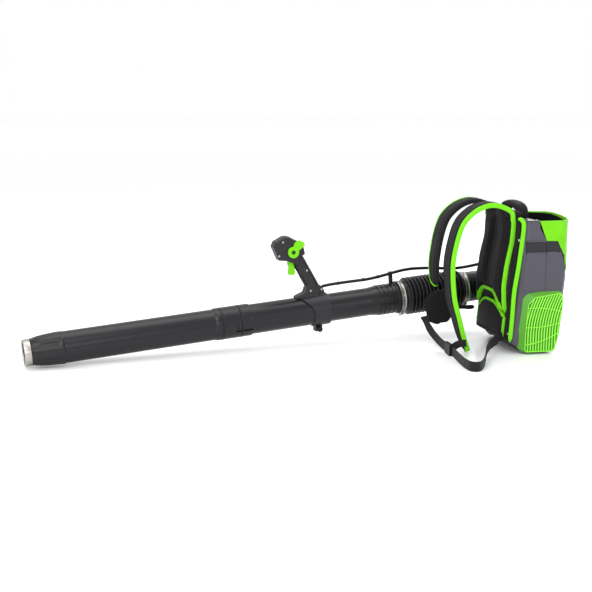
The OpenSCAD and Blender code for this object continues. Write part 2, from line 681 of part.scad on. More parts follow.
// Route of a shoulder strap's middle on the wearer's right, from the cushion's top; the left one mirrors it
strap_y = cushion_w / 2 - strap_w / 2;
strap_route = [[-86, 428.8], [-86, 433], [-92, 441], [-113, 453], [-142, 461], [-172, 459], [-208, 443],
    [-243, 408], [-263, 352], [-275, 276]];
strap_end_left = [[-268, 180], [-250, 112], [-236, 60], [-224, 15]];
strap_end_right = [[-274, 232], [-268, 190]];
module shoulder_strap(route) {
    path = smooth([for (p = route) [p.x, strap_y, p.y]], 3);
    color(cloth) band(path, [0, 1, 0], [for (p = path) strap_w], strap_t);
}
module shoulder_strap_right() shoulder_strap(concat(strap_route, strap_end_right));
module shoulder_strap_left() mirror([0, 1, 0]) shoulder_strap(concat(strap_route, strap_end_left));

// Padded hip wings stand on edge beside the lumbar pad; the fourth value is the width at each point
wing_right_route = [[-124, 106, 108, 24], [-150, 104, 108, 24], [-180, 103, 109, 28], [-206, 101, 112, 96],
    [-240, 91, 114, 114], [-276, 76, 110, 108], [-300, 62, 100, 74]];
wing_left_route = [[-110, -113.6, 56, 44], [-118, -114, 54, 44], [-126, -117, 50, 40], [-136, -123, 44, 36]];
module hip_wing(route, t) {
    path = smooth(route, 3);
    color(cloth) band(places(path), [0, 0, 1], [for (p = path) p[3]], t);
}
module hip_wing_right() hip_wing(wing_right_route, 14);
module hip_wing_left() hip_wing(wing_left_route, 9);

// Waist webbing: it stands on its edge on the floor in a loose loop
webbing_left_route = [[-137.2, -124, 43.4], [-146, -129, 40], [-164, -144, 34], [-188, -180, 26],
    [-212, -235, 19], [-244, -298, 15.5], [-268, -326, 15.3], [-288, -318, 15.3],
    [-292, -280, 15.3], [-289, -230, 15.5], [-284, -180, 16.5], [-281, -150, 17.5],
    [-280, -139, 17.7]];
webbing_right_route = [[-280, -70.5, 20], [-281, -48, 21], [-283, -14, 26], [-290, 20, 40],
    [-298, 44, 58], [-304, 60, 78]];
module webbing(route) {
    path = smooth(route, 3);
    color(black) band(path, [0, 0, 1], [for (p = path) webbing_w], webbing_t);
}
module waist_webbing_left() webbing(webbing_left_route);
module waist_webbing_right() webbing(webbing_right_route);
module webbing_tail() color(black) band([[-269.8, -126, 30], [-265.5, -135, 38], [-258, -146, 44],
    [-246, -156, 47]], [0, 0, 1], [22, 22, 22, 22], 2);

// Side-release buckle between the two waist webbings
buckle_at = [-280, -98, 19];
module in_buckle() translate(buckle_at) rotate([2, 0, 0]) children();
module buckle_socket() color(black) in_buckle() difference() {
    translate([-6, -24, -18]) cube([12, 26, 36]);
    translate([-4, -14, -15]) cube([8, 30, 30]);
    // Loop that the webbing threads through
    translate([-3, -40, -15.6]) cube([6, 22, 31.2]);
}
module buckle_tongue() color(black) in_buckle() {
    difference() {
        translate([-5, 2.5, -18]) cube([10, 22, 36]);
        translate([-2.6, 8, -15.6]) cube([5.2, 30, 31.2]);
    }
    for (z = [-13.5, -2.5, 8.5]) translate([-3.4, -13, z]) cube([6.8, 16, 5]);
}

front_shell();
rear_shell();
upper_hood();
side_cover_left();
side_cover_right();
shell_screws();
base_pad();
battery_bay();
terminal_block();
controller_board();
heat_sink();
fan_duct();
inlet_bell();
motor_end_cap();
motor_stator();
motor_bearings();
outlet_elbow();
elbow_screws();
rear_clamp_band();
rear_clamp_screw();
bellows_rear();
harness_frame();
back_pad();
pad_rivets();
grab_handle();
shoulder_strap_left();
shoulder_strap_right();
hip_wing_left();
hip_wing_right();
waist_webbing_left();
waist_webbing_right();
webbing_tail();
buckle_socket();
cable_gland();
cable_rear();
impeller();
motor_rotor();
fan_shaft();
impeller_nut();
battery_case();
battery_latch();
bellows_middle();
cable_middle();
bellows_front();
front_clamp_band();
front_clamp_screw();
swivel_tube();
main_tube();
cable_clip();
cable_front();
nozzle_tube();
nozzle_ring();
handle_left();
handle_right();
handle_screws();
throttle_switch();
trigger();
cruise_lever();
clamp_knob();
buckle_tongue();
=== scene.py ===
"""Looks of the battery backpack leaf blower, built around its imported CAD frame. Metres, +Z up."""
import json
import math

import bmesh
import bpy
import numpy as np
from mathutils import Matrix, Vector, noise


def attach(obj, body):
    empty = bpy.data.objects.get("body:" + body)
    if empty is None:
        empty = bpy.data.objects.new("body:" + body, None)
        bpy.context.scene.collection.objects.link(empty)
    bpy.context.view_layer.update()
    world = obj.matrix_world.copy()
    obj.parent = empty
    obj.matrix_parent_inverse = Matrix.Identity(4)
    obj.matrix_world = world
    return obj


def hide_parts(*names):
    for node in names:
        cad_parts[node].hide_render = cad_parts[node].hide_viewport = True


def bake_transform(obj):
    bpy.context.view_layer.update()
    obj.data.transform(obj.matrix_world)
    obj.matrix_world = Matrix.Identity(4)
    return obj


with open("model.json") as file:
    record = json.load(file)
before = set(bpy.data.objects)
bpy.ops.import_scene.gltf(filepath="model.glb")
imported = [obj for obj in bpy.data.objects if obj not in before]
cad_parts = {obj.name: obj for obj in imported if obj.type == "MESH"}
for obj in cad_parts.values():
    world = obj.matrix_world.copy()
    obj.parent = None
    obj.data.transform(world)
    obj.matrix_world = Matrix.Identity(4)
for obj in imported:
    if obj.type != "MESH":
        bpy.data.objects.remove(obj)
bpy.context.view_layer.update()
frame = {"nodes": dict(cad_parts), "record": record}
NODES = frame["nodes"]
BODY_OF = {node: body for body, nodes in frame["record"]["behaviour"]["bodies"].items() for node in nodes}
SLOT_OF = {part["node"]: part["material_slot"] for part in frame["record"]["subparts"]}
MM = 0.001

# The tube's own frame: s runs from the hose's root towards the tip, h is up from the axis,
# w is the wearer's right
TUBE_YAW, TUBE_PITCH = math.radians(8), math.radians(4.4)
HOSE_ROOT = Vector((-0.136, 0.197, 0.156))
ALONG = Vector((-math.cos(TUBE_PITCH) * math.cos(TUBE_YAW), -math.cos(TUBE_PITCH) * math.sin(TUBE_YAW),
                -math.sin(TUBE_PITCH)))
RIGHT = Vector((-math.sin(TUBE_YAW), math.cos(TUBE_YAW), 0))
UP = RIGHT.cross(ALONG)


def mm(*v):
    """A point given in millimetres."""
    return Vector(v) * MM


def on_tube(s, h=0.0, w=0.0):
    """A point in the tube's frame, in millimetres."""
    return HOSE_ROOT + (ALONG * s + UP * h + RIGHT * w) * MM


# ---------------------------------------------------------------- camera, floor and light
def aim(obj, target):
    obj.rotation_euler = (Vector(target) - obj.location).to_track_quat("-Z", "Y").to_euler()


def make_camera():
    data = bpy.data.cameras.new("camera")
    data.sensor_width = 36
    data.lens = 69.93
    data.clip_end = 60
    camera = bpy.data.objects.new("camera", data)
    bpy.context.scene.collection.objects.link(camera)
    camera.location = (-1.466, -3.402, 0.808)
    turn, drop = math.radians(12), math.radians(10.16)
    aim(camera, camera.location + Vector((math.sin(turn) * math.cos(drop), math.cos(turn) * math.cos(drop),
                                          -math.sin(drop))))
    bpy.context.scene.camera = camera


def area_light(name, location, target, size, size_y, power):
    data = bpy.data.lights.new(name, "AREA")
    data.shape = "RECTANGLE"
    data.size, data.size_y = size, size_y
    data.energy = power
    light = bpy.data.objects.new(name, data)
    bpy.context.scene.collection.objects.link(light)
    light.location = location
    aim(light, target)


def make_studio():
    scene = bpy.context.scene
    world = bpy.data.worlds.new("studio")
    scene.world = world
    world.use_nodes = True
    background = world.node_tree.nodes["Background"]
    background.inputs["Color"].default_value = (1, 1, 1, 1)
    background.inputs["Strength"].default_value = 1.0
    middle = (-0.75, 0, 0.15)
    area_light("key", (-2.2, -2.2, 3.0), middle, 2.6, 1.6, 62)
    area_light("top", (-0.6, 0.4, 3.2), middle, 3.4, 2.0, 55)
    area_light("rim", (1.6, 2.4, 1.7), (0, 0, 0.3), 1.6, 1.6, 40)
    area_light("fill", (1.6, -2.6, 1.1), (-0.2, 0, 0.2), 1.4, 1.6, 14)
    area_light("strip", (-1.6, -3.0, 1.0), (-0.8, 0, 0.1), 2.6, 0.25, 26)
    mesh = bpy.data.meshes.new("floor")
    mesh.from_pydata([(-30, -30, 0), (30, -30, 0), (30, 30, 0), (-30, 30, 0)], [], [(0, 1, 2, 3)])
    floor = bpy.data.objects.new("floor", mesh)
    scene.collection.objects.link(floor)
    material = bpy.data.materials.new("floor")
    material.use_nodes = True
    shader = material.node_tree.nodes["Principled BSDF"]
    shader.inputs["Base Color"].default_value = (0.93, 0.93, 0.935, 1)
    shader.inputs["Roughness"].default_value = 0.16
    shader.inputs["Specular IOR Level"].default_value = 0.45
    floor.data.materials.append(material)
    scene.view_settings.view_transform = "Standard"
    scene.view_settings.look = "None"
    scene.view_settings.exposure = 0.0


make_camera()
make_studio()


# ---------------------------------------------------------------- materials
MIX_A, MIX_B, MIX_RESULT = 6, 7, 2    # the Mix node's colour sockets


class Shader:
    """A Principled material with short calls for the nodes that this script uses."""

    def __init__(self, name, colour, roughness, metallic=0.0, **sockets):
        self.material = bpy.data.materials.new(name)
        self.material.use_nodes = True
        self.nodes = self.material.node_tree.nodes
        self.links = self.material.node_tree.links
        self.bsdf = self.nodes["Principled BSDF"]
        self.bsdf.inputs["Base Color"].default_value = (*colour, 1)
        self.bsdf.inputs["Roughness"].default_value = roughness
        self.bsdf.inputs["Metallic"].default_value = metallic
        for socket, value in sockets.items():
            self.bsdf.inputs[socket.replace("_", " ")].default_value = value
        self.colour = colour
        self.height = None
        self.place = self.node("ShaderNodeTexCoord").outputs["Object"]

    def node(self, kind, **values):
        made = self.nodes.new(kind)
        for key, value in values.items():
            if hasattr(made, key):
                setattr(made, key, value)
            else:
                made.inputs[key.replace("_", " ")].default_value = value
        return made

    def fibre_place(self):
        """Takes the textures' place from the piece's own fibre coordinates: metres along it and across it."""
        self.place = self.node("ShaderNodeAttribute", attribute_name="fibre").outputs["Vector"]
        return self

    def scaled(self, x, y, z):
        mapping = self.node("ShaderNodeMapping")
        mapping.inputs["Scale"].default_value = (x, y, z)
        self.links.new(self.place, mapping.inputs["Vector"])
        return mapping.outputs["Vector"]

    def noise(self, scale, detail=3.0, stretch=(1, 1, 1)):
        texture = self.node("ShaderNodeTexNoise", Scale=scale, Detail=detail)
        self.links.new(self.scaled(*stretch), texture.inputs["Vector"])
        return texture.outputs["Fac"]

    def cells(self, scale, feature="F1", stretch=(1, 1, 1)):
        texture = self.node("ShaderNodeTexVoronoi", Scale=scale)
        texture.feature = feature
        self.links.new(self.scaled(*stretch), texture.inputs["Vector"])
        return texture.outputs["Distance"]

    def wave(self, scale, direction, distortion=0.0):
        texture = self.node("ShaderNodeTexWave", Scale=scale, Distortion=distortion)
        texture.bands_direction = direction
        self.links.new(self.place, texture.inputs["Vector"])
        return texture.outputs["Fac"]

    def math(self, operation, a, b):
        made = self.node("ShaderNodeMath")
        made.operation = operation
        for socket, value in zip(made.inputs, (a, b)):
            if isinstance(value, (int, float)):
                socket.default_value = value
            else:
                self.links.new(value, socket)
        return made.outputs["Value"]

    def spread(self, source, low, high):
        """source, from 0 to 1, as a value from low to high."""
        made = self.node("ShaderNodeMapRange")
        self.links.new(source, made.inputs["Value"])
        made.inputs["To Min"].default_value = low
        made.inputs["To Max"].default_value = high
        return made.outputs["Result"]

    def vary_colour(self, source, low, high):
        """Base colour from low to high times the material's own."""
        mix = self.node("ShaderNodeMix", data_type="RGBA")
        mix.inputs[MIX_A].default_value = (*[c * low for c in self.colour], 1)
        mix.inputs[MIX_B].default_value = (*[c * high for c in self.colour], 1)
        self.links.new(source, mix.inputs["Factor"])
        self.links.new(mix.outputs[MIX_RESULT], self.bsdf.inputs["Base Color"])
        return self

    def vary_roughness(self, source, low, high):
        self.links.new(self.spread(source, low, high), self.bsdf.inputs["Roughness"])
        return self

    def bump(self, source, strength, distance, soften=None):
        """Relief from source; soften is a radius by which the edges' shading is rounded."""
        made = self.node("ShaderNodeBump", Strength=strength, Distance=distance)
        self.links.new(source, made.inputs["Height"])
        if soften:
            edge = self.node("ShaderNodeBevel", Radius=soften)
            edge.samples = 4
            self.links.new(edge.outputs["Normal"], made.inputs["Normal"])
        self.links.new(made.outputs["Normal"], self.bsdf.inputs["Normal"])
        return self


def plastic(name, colour, roughness, grain=1400, strength=0.12, soften=1.2 * MM, **sockets):
    """Moulded plastic: fine spark-eroded grain, faint handling marks and softened edges."""
    made = Shader(name, colour, roughness, **sockets)
    marks = made.noise(9, 5)
    made.vary_roughness(marks, roughness - 0.06, roughness + 0.08)
    made.vary_colour(made.noise(30, 4), 0.9, 1.1)
    return made.bump(made.noise(grain, 2), strength, 0.15 * MM, soften).material


def cloth(name, colour, thread=0.9 * MM, **sockets):
    """Woven nylon: crossing threads and soft creases, with the colour following their relief, darker in the
    hollows: painted shade.
    """
    made = Shader(name, colour, 0.82, **sockets).fibre_place()
    scale = 1 / thread / 20 * 2 * math.pi
    warp = made.wave(scale, "X")
    weft = made.wave(scale, "Y")
    weave = made.math("MULTIPLY", warp, weft)
    creases = made.noise(28, 4)
    # the colour darkens where the weave and creases are low: painted shade in their hollows
    made.vary_colour(made.math("ADD", made.math("MULTIPLY", weave, 0.5), made.math("MULTIPLY", creases, 0.5)),
                     0.55, 1.6)
    return made.bump(made.math("ADD", made.math("MULTIPLY", weave, 0.12), creases), 0.55, 2.2 * MM).material


def mesh_cloth(name, colour):
    """Open spacer mesh: a net of small holes over a dark ground."""
    made = Shader(name, colour, 0.75).fibre_place()
    holes = made.cells(330)
    made.vary_colour(holes, 1.9, 0.25)
    return made.bump(holes, 0.8, 1.0 * MM).material


def tape(name, colour, rib=1.6 * MM, strength=0.7, **sockets):
    """Woven tape or binding: ribs across it and a twill along it."""
    made = Shader(name, colour, 0.62, **sockets).fibre_place()
    ribs = made.wave(1 / rib / 20 * 2 * math.pi, "X", 0.6)
    twill = made.wave(1 / rib / 20 * 2 * math.pi * 1.4, "DIAGONAL")
    height = made.math("ADD", ribs, made.math("MULTIPLY", twill, 0.5))
    # the colour darkens between the ribs and in the twill's hollows: painted shade
    made.vary_colour(made.math("MULTIPLY", height, 0.66), 0.78, 1.12)
    return made.bump(height, strength, 0.35 * MM).material


def steel(name, colour, roughness, stretch, wear=0.1):
    """Drawn or turned steel: fine scratches along the way it was worked."""
    made = Shader(name, colour, roughness, metallic=1.0)
    scratches = made.noise(260, 3, stretch)
    made.vary_roughness(made.math("MULTIPLY", made.math("ADD", scratches, made.noise(14, 4)), 0.5),
                        roughness - 0.08, roughness + wear + 0.1)
    made.vary_colour(made.noise(60, 5), 0.8, 1.08)
    return made.bump(scratches, 0.10, 0.1 * MM, 0.4 * MM).material


LIME = (0.140, 0.520, 0.003)
MATERIALS = {
    "housing_grey": plastic("housing_grey", (0.055, 0.052, 0.068), 0.42, Specular_IOR_Level=0.35),
    "black_plastic": plastic("black_plastic", (0.0045, 0.0042, 0.005), 0.42, Specular_IOR_Level=0.2),
    "tube_black": plastic("tube_black", (0.0062, 0.0056, 0.0075), 0.30, grain=900, strength=0.08,
                          Specular_IOR_Level=0.30),
    "lime_plastic": plastic("lime_plastic", LIME, 0.36, grain=1100, strength=0.06, Specular_IOR_Level=0.18),
    "soft_rubber": plastic("soft_rubber", (0.0030, 0.0028, 0.0032), 0.30, grain=700, strength=0.15,
                           Specular_IOR_Level=0.25),
    "harness_cloth": cloth("harness_cloth", (0.0058, 0.0048, 0.0062), Sheen_Weight=0.03, Sheen_Roughness=0.5,
                           Specular_IOR_Level=0.22),
    "webbing": tape("webbing", (0.006, 0.006, 0.007), Sheen_Weight=0.03, Specular_IOR_Level=0.22),
    "steel": steel("steel", (0.42, 0.40, 0.37), 0.30, (1, 1, 6)),
    "copper": steel("copper", (0.70, 0.33, 0.16), 0.3, (1, 8, 1)),
    "board": plastic("board", (0.01, 0.10, 0.035), 0.35, soften=None),
    "heat_sink_alu": steel("heat_sink_alu", (0.75, 0.76, 0.77), 0.35, (1, 1, 8)),
}
LIME_TAPE = tape("lime_tape", (0.150, 0.600, 0.006), rib=1.3 * MM, strength=0.5, Specular_IOR_Level=0.2)
# darker lime for the grille's floor between the bars: painted shade in the recess
LIME_RECESS_SHADE = plastic("lime_recess_shade", (0.040, 0.200, 0.003), 0.45, soften=None)
NET = mesh_cloth("spacer_mesh", (0.010, 0.009, 0.010))
DARK_HOLE = plastic("dark_hole", (0.004, 0.004, 0.005), 0.7, soften=None)
# dark grey for the recessed band under the hood: painted shade beneath the overhang
RECESS_SHADE = plastic("recess_painted_shade", (0.018, 0.017, 0.021), 0.5, Specular_IOR_Level=0.25)
MATT = plastic("black_matt", (0.006, 0.006, 0.0065), 0.8, Specular_IOR_Level=0.03)
# darker lime for the covers' sloped sides: painted shade, as on a facet turned away from the light
LIME_PAINTED_SHADE = plastic("lime_painted_shade", (0.060, 0.26, 0.004), 0.42, grain=1100, strength=0.06)
# lighter lime for the grille's bars and edge: a lit copy of the lime plastic, painted light
LIME_PAINTED_LIGHT = plastic("lime_painted_light", (0.24, 0.74, 0.045), 0.35, soften=None)
HANDLE_BLACK = plastic("handle_black", (0.013, 0.0118, 0.0145), 0.38, grain=900, strength=0.1,
                       Specular_IOR_Level=0.28)


def assign(obj, material):
    obj.data.materials.clear()
    obj.data.materials.append(material)
    return obj


for node_name, node_object in NODES.items():
    assign(node_object, MATERIALS[SLOT_OF[node_name]])


# ---------------------------------------------------------------- mesh tools
def finish_mesh(name, points, faces, material, fibre=None, smooth=True):
    """A new object from points in millimetres, with its faces turned outwards."""
    mesh = bpy.data.meshes.new(name)
    mesh.from_pydata([tuple(p) for p in np.asarray(points, float) * MM], [], faces)
    shape = bmesh.new()
    shape.from_mesh(mesh)
    bmesh.ops.recalc_face_normals(shape, faces=shape.faces)
    shape.to_mesh(mesh)
    shape.free()
    if fibre is not None:
        attribute = mesh.attributes.new("fibre", "FLOAT_VECTOR", "POINT")
        attribute.data.foreach_set("vector", (np.asarray(fibre, float) * MM).ravel())
    if smooth:
        mesh.shade_smooth()
    mesh.materials.append(material)
    made = bpy.data.objects.new(name, mesh)
    bpy.context.scene.collection.objects.link(made)
    return made


def coordinates(obj):
    return np.array([v.co for v in obj.data.vertices], float)


def set_coordinates(obj, points):
    obj.data.vertices.foreach_set("co", np.asarray(points, np.float32).ravel())
    obj.data.update()


def baked(obj):
    """obj with its modifiers made part of its mesh."""
    graph = bpy.context.evaluated_depsgraph_get()
    mesh = bpy.data.meshes.new_from_object(obj.evaluated_get(graph))
    obj.modifiers.clear()
    obj.data = mesh
    return obj


def modified(obj, kind, **values):
    modifier = obj.modifiers.new(kind.lower(), kind)
    for key, value in values.items():
        setattr(modifier, key, value)
    return baked(obj)


def place_fibre(obj, along, across):
    """Lays fibre coordinates over obj in the plane of two directions."""
    attribute = obj.data.attributes.get("fibre")
    attribute = attribute or obj.data.attributes.new("fibre", "FLOAT_VECTOR", "POINT")
    points = coordinates(obj)
    laid = np.column_stack([points @ np.array(along), points @ np.array(across), np.zeros(len(points))])
    attribute.data.foreach_set("vector", laid.ravel())
    return obj


def smooth_route(points, steps=5):
    """A smooth run of points through the given ones."""
    p = np.array(points, float)
    p = np.vstack([2 * p[0] - p[1], p, 2 * p[-1] - p[-2]])
    run = []
    for a, b, c, d in zip(p, p[1:], p[2:], p[3:]):
        for t in np.linspace(0, 1, steps, endpoint=False):
            run.append(0.5 * (2 * b + (c - a) * t + (2 * a - 5 * b + 4 * c - d) * t ** 2
                              + (3 * b - a - 3 * c + d) * t ** 3))
    return np.array(run + [p[-2]])


def unit_rows(rows):
    return rows / np.linalg.norm(rows, axis=1, keepdims=True)


def path_frame(path, side):
    """Unit vectors along the path, across it towards side, and out of it, at each of its points."""
    along = unit_rows(np.gradient(path, axis=0))
    side = np.broadcast_to(np.asarray(side, float), path.shape)
    across = unit_rows(side - along * np.sum(side * along, axis=1, keepdims=True))
    return along, across, np.cross(along, across)


def travel(path):
    steps = np.linalg.norm(np.diff(path, axis=0), axis=1)
    return np.concatenate([[0], np.cumsum(steps)])


def ring_faces(rings, count, closed_loop=True, caps=True):
    faces = []
    for i in range(rings - 1):
        for k in range(count if closed_loop else count - 1):
            n = (k + 1) % count
            faces.append((i * count + k, i * count + n, (i + 1) * count + n, (i + 1) * count + k))
    if caps:
        faces += [tuple(range(count)), tuple(range((rings - 1) * count, rings * count))]
    return faces


def sweep(name, path, side, section, material, ripple=0.0):
    """section(u) is the closed loop of (across, out) points in mm, at share u of the path's length."""
    path = np.asarray(path, float)
    across, out = path_frame(path, side)[1:]
    gone = travel(path)
    points, fibre = [], []
    for i, distance in enumerate(gone):
        loop = np.asarray(section(distance / gone[-1]), float)
        ring = path[i] + across[i] * loop[:, :1] + out[i] * loop[:, 1:]
        if ripple:
            lift = [noise.noise(Vector(p) / 21) + 0.6 * noise.noise(Vector(p) / 9) for p in ring]
            ring = ring + out[i] * np.array(lift)[:, None] * ripple * np.sign(loop[:, 1:])
        girth = travel(np.vstack([loop, loop[:1]]))[:-1]
        points.append(ring)
        fibre.append(np.column_stack([np.full(len(loop), distance), girth, np.zeros(len(loop))]))
    count = len(points[0])
    return finish_mesh(name, np.vstack(points), ring_faces(len(points), count), material, np.vstack(fibre))


def pillow(half_w, half_t, power=3.4, count=56):
    """A padded section: a box with round sides, half_w by half_t each way."""
    a = np.linspace(0, 2 * math.pi, count, endpoint=False)
    c, s = np.cos(a), np.sin(a)
    return np.column_stack([half_w * np.sign(c) * np.abs(c) ** (2 / power),
                            half_t * np.sign(s) * np.abs(s) ** (2 / power)])


def rounding(u, length, radius):
    """How full a section is near the ends of a piece, so that they are round."""
    near = max(min(u, 1 - u) * length, 0.02 * radius)
    return math.sqrt(1 - (1 - min(near / radius, 1)) ** 2)


def pipe(name, path, side, r_out, r_in, material, sides=80):
    """A hollow pipe along path."""
    path = np.asarray(path, float)
    across, out = path_frame(path, side)[1:]
    a = np.linspace(0, 2 * math.pi, sides, endpoint=False)
    rings = []
    for r, order in ((r_out, range(len(path))), (r_in, range(len(path) - 1, -1, -1))):
        rings += [path[i] + across[i] * np.cos(a)[:, None] * r + out[i] * np.sin(a)[:, None] * r
                  for i in order]
    faces = ring_faces(len(rings), sides, caps=False)
    last = (len(rings) - 1) * sides
    faces += [(last + k, last + (k + 1) % sides, (k + 1) % sides, k) for k in range(sides)]
    return finish_mesh(name, np.vstack(rings), faces, material)


def lathe(name, profile, material, sides=96, s0=0.0):
    """A closed ring of (radius, distance along the tube) points turned about the tube's axis."""
    a = np.linspace(0, 2 * math.pi, sides, endpoint=False)
    root, along, up, right = (np.array(v) for v in (HOSE_ROOT / MM, ALONG, UP, RIGHT))
    turn = up * np.cos(a)[:, None] + right * np.sin(a)[:, None]
    rings = [root + along * (s + s0) + turn * r for r, s in profile]
    faces = ring_faces(len(rings), sides, caps=False)
    last = (len(rings) - 1) * sides
    faces += [(last + k, last + (k + 1) % sides, (k + 1) % sides, k) for k in range(sides)]
    return finish_mesh(name, np.vstack(rings), faces, material)


def plate(name, outline, y0, y1, material, bevel=1.2):
    """A plate with an outline of (x, z) points in mm, from y0 to y1, with soft edges."""
    points = [(x, y, z) for y in (y0, y1) for x, z in outline]
    made = finish_mesh(name, points, ring_faces(2, len(outline)), material, smooth=False)
    modified(made, "BEVEL", width=bevel * MM, segments=3, limit_method="ANGLE")
    made.data.shade_smooth()
    return modified(made, "WEIGHTED_NORMAL")


def rounded(outline, radius, steps=5):
    """An outline whose corners are rounded by radius."""
    p = np.array(outline, float)
    run = []
    for before, corner, after in zip(np.roll(p, 1, 0), p, np.roll(p, -1, 0)):
        a, b = before - corner, after - corner
        cut = min(radius, 0.45 * np.linalg.norm(a), 0.45 * np.linalg.norm(b))
        start, end = corner + a / np.linalg.norm(a) * cut, corner + b / np.linalg.norm(b) * cut
        for t in np.linspace(0, 1, steps):
            run.append((1 - t) ** 2 * start + 2 * t * (1 - t) * corner + t ** 2 * end)
    return np.array(run)


def inside(point, outline):
    x, z = point
    hit = False
    for (x0, z0), (x1, z1) in zip(outline, np.roll(outline, -1, 0)):
        if (z0 > z) != (z1 > z) and x < (x1 - x0) * (z - z0) / (z1 - z0) + x0:
            hit = not hit
    return hit


def joined(name, pieces):
    """The pieces as one object."""
    with bpy.context.temp_override(active_object=pieces[0], selected_editable_objects=pieces,
                                   object=pieces[0], selected_objects=pieces):
        bpy.ops.object.join()
    pieces[0].name = name
    return pieces[0]


CLOTH_PRESSURE, CLOTH_FRAMES = 4.0, 20


def inflate(obj, cap, voxel=5.0):
    """Swells a closed form like stuffed fabric by cloth simulation; no point moves more than cap mm."""
    modified(obj, "REMESH", mode="VOXEL", voxel_size=voxel * MM)
    rest = coordinates(obj)
    cloth_modifier = obj.modifiers.new("cloth", "CLOTH")
    cloth_modifier.settings.use_pressure = True
    cloth_modifier.settings.uniform_pressure_force = CLOTH_PRESSURE
    cloth_modifier.settings.effector_weights.gravity = 0
    for frame_number in range(1, CLOTH_FRAMES + 1):
        bpy.context.scene.frame_set(frame_number)
    baked(obj)
    bpy.context.scene.frame_set(1)
    moved = coordinates(obj) - rest
    size = np.linalg.norm(moved, axis=1, keepdims=True) + 1e-9
    set_coordinates(obj, rest + moved * np.minimum(1, cap * MM / size))
    modified(obj, "SUBSURF", levels=1)
    obj.data.shade_smooth()
    return obj


def moulded(name, nodes, voxel=1.2, smoothing=4):
    """A rounded, moulded copy of CAD nodes that stands for them."""
    copies = []
    for node in nodes:
        copy = bpy.data.objects.new(name + "_" + node, NODES[node].data.copy())
        bpy.context.scene.collection.objects.link(copy)
        copies.append(copy)
    made = joined(name, copies) if len(copies) > 1 else copies[0]
    made.name = name
    material = made.data.materials[0]
    modified(made, "REMESH", mode="VOXEL", voxel_size=voxel * MM)
    modified(made, "SMOOTH", factor=0.5, iterations=smoothing)
    made.data.shade_smooth()
    assign(made, material)
    return attached(made, SLOT_OF[nodes[0]], BODY_OF[nodes[0]], *nodes)


def attached(piece, slot, body, *nodes):
    """piece rides on body and stands for the CAD nodes; slot is not used."""
    if nodes:
        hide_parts(*nodes)
    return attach(piece, body)


def on_pack(piece, slot, *nodes):
    return attached(piece, slot, "pack", *nodes)


def padding(piece, fill, *nodes):
    """piece is a padded part of the harness."""
    on_pack(piece, "harness_cloth", *nodes)


CLOTH, WEBBING = MATERIALS["harness_cloth"], MATERIALS["webbing"]
BLACK, GREY, LIME_HARD = MATERIALS["black_plastic"], MATERIALS["housing_grey"], MATERIALS["lime_plastic"]
BINDING_W, BINDING_T = 7.6, 2.6    # half the width and thickness of the lime edge binding


def binding(name, path, side, material=LIME_TAPE, half_w=BINDING_W, half_t=BINDING_T):
    """A tape folded over an edge; side is the direction of the edge's thickness."""
    length = travel(np.asarray(path, float))[-1]
    piece = sweep(name, path, side,
                  lambda u: pillow(half_w, half_t, 3.0, 28) * rounding(u, length, half_t * 2), material, 0.25)
    return on_pack(piece, "webbing")


# ---------------------------------------------------------------- shoulder straps
STRAP_W, STRAP_T = 72.0, 15.0
STRAP_Y = 72.0
STRAP_ROUTE = [(-85, 408), (-86, 428), (-92, 441), (-113, 453), (-142, 461), (-172, 459), (-208, 443),
               (-243, 408), (-263, 352), (-275, 276)]
STRAP_ENDS = {"left": [(-268, 180), (-250, 112), (-235, 56), (-217, 7)], "right": [(-274, 232), (-268, 190)]}


def narrowing(u, taper):
    """How much each side of a strap has drawn in, in mm, at share u of its length."""
    return taper * np.clip((u - 0.72) / 0.28, 0, 1) ** 2


def strap_section(u, length, taper):
    """A padded strap with four sewn channels along it."""
    half_w = STRAP_W / 2 - narrowing(u, taper)
    full = rounding(u, length, 16)
    loop = pillow(half_w, STRAP_T / 2, 3.4, 96)
    channels = sum(np.exp(-((loop[:, 0] - c * half_w) / 1.6) ** 2) for c in (-0.68, -0.24, 0.24, 0.68))
    crown = 1 + 0.12 * np.cos(loop[:, 0] / half_w * math.pi / 2)
    loop[:, 1] *= crown * (1 - 0.26 * channels)
    return loop * (full ** 0.5, full)


def shoulder_strap(side, sign, taper):
    path = smooth_route([(x, sign * STRAP_Y, z) for x, z in STRAP_ROUTE + STRAP_ENDS[side]], 9)
    gone = travel(path) / travel(path)[-1]
    path[:, 1] += sign * narrowing(gone, taper)
    length = travel(path)[-1]
    strap = sweep(f"strap_{side}", path, (0, sign, 0), lambda u: strap_section(u, length, taper), CLOTH, 1.0)
    padding(strap, 0.8, f"shoulder_strap_{side}")
    across, out = path_frame(path, (0, sign, 0))[1:]
    shares = travel(path) / length
    half = (STRAP_W / 2 - narrowing(shares, taper))[:, None]
    outer, inner = path + across * (half - 2), path - across * (half - 2)
    tip = [path[-1] + across[-1] * half[-1] * c for c in (0.8, 0.45, 0, -0.45, -0.8)]
    drop = (path[-1] - path[-2]) / np.linalg.norm(path[-1] - path[-2])
    tip = [point + drop * d for point, d in zip(tip, (-5, -1.5, -0.5, -1.5, -5))]
    edge = np.vstack([outer[:-3], tip])
    binding(f"strap_binding_{side}", edge, np.vstack([out[:-3], np.repeat(out[-1:], len(tip), 0)]))
    binding(f"strap_edge_{side}", inner[:-4], out[:-4], WEBBING, 7.4, 1.8)


# ---------------------------------------------------------------- back pad
CUSHION_W, PANEL_W = 108.0, 132.0     # half widths of the front cushions and the rear panel
# (z, x) of the front cushions' middle
PAD_SPINE = [(48, -108), (101, -104), (121, -101), (163, -107), (210, -109), (270, -102), (350, -86),
             (400, -83), (427, -84)]


def spine_x(z):
    heights, places = zip(*PAD_SPINE)
    return np.interp(z, heights, places)


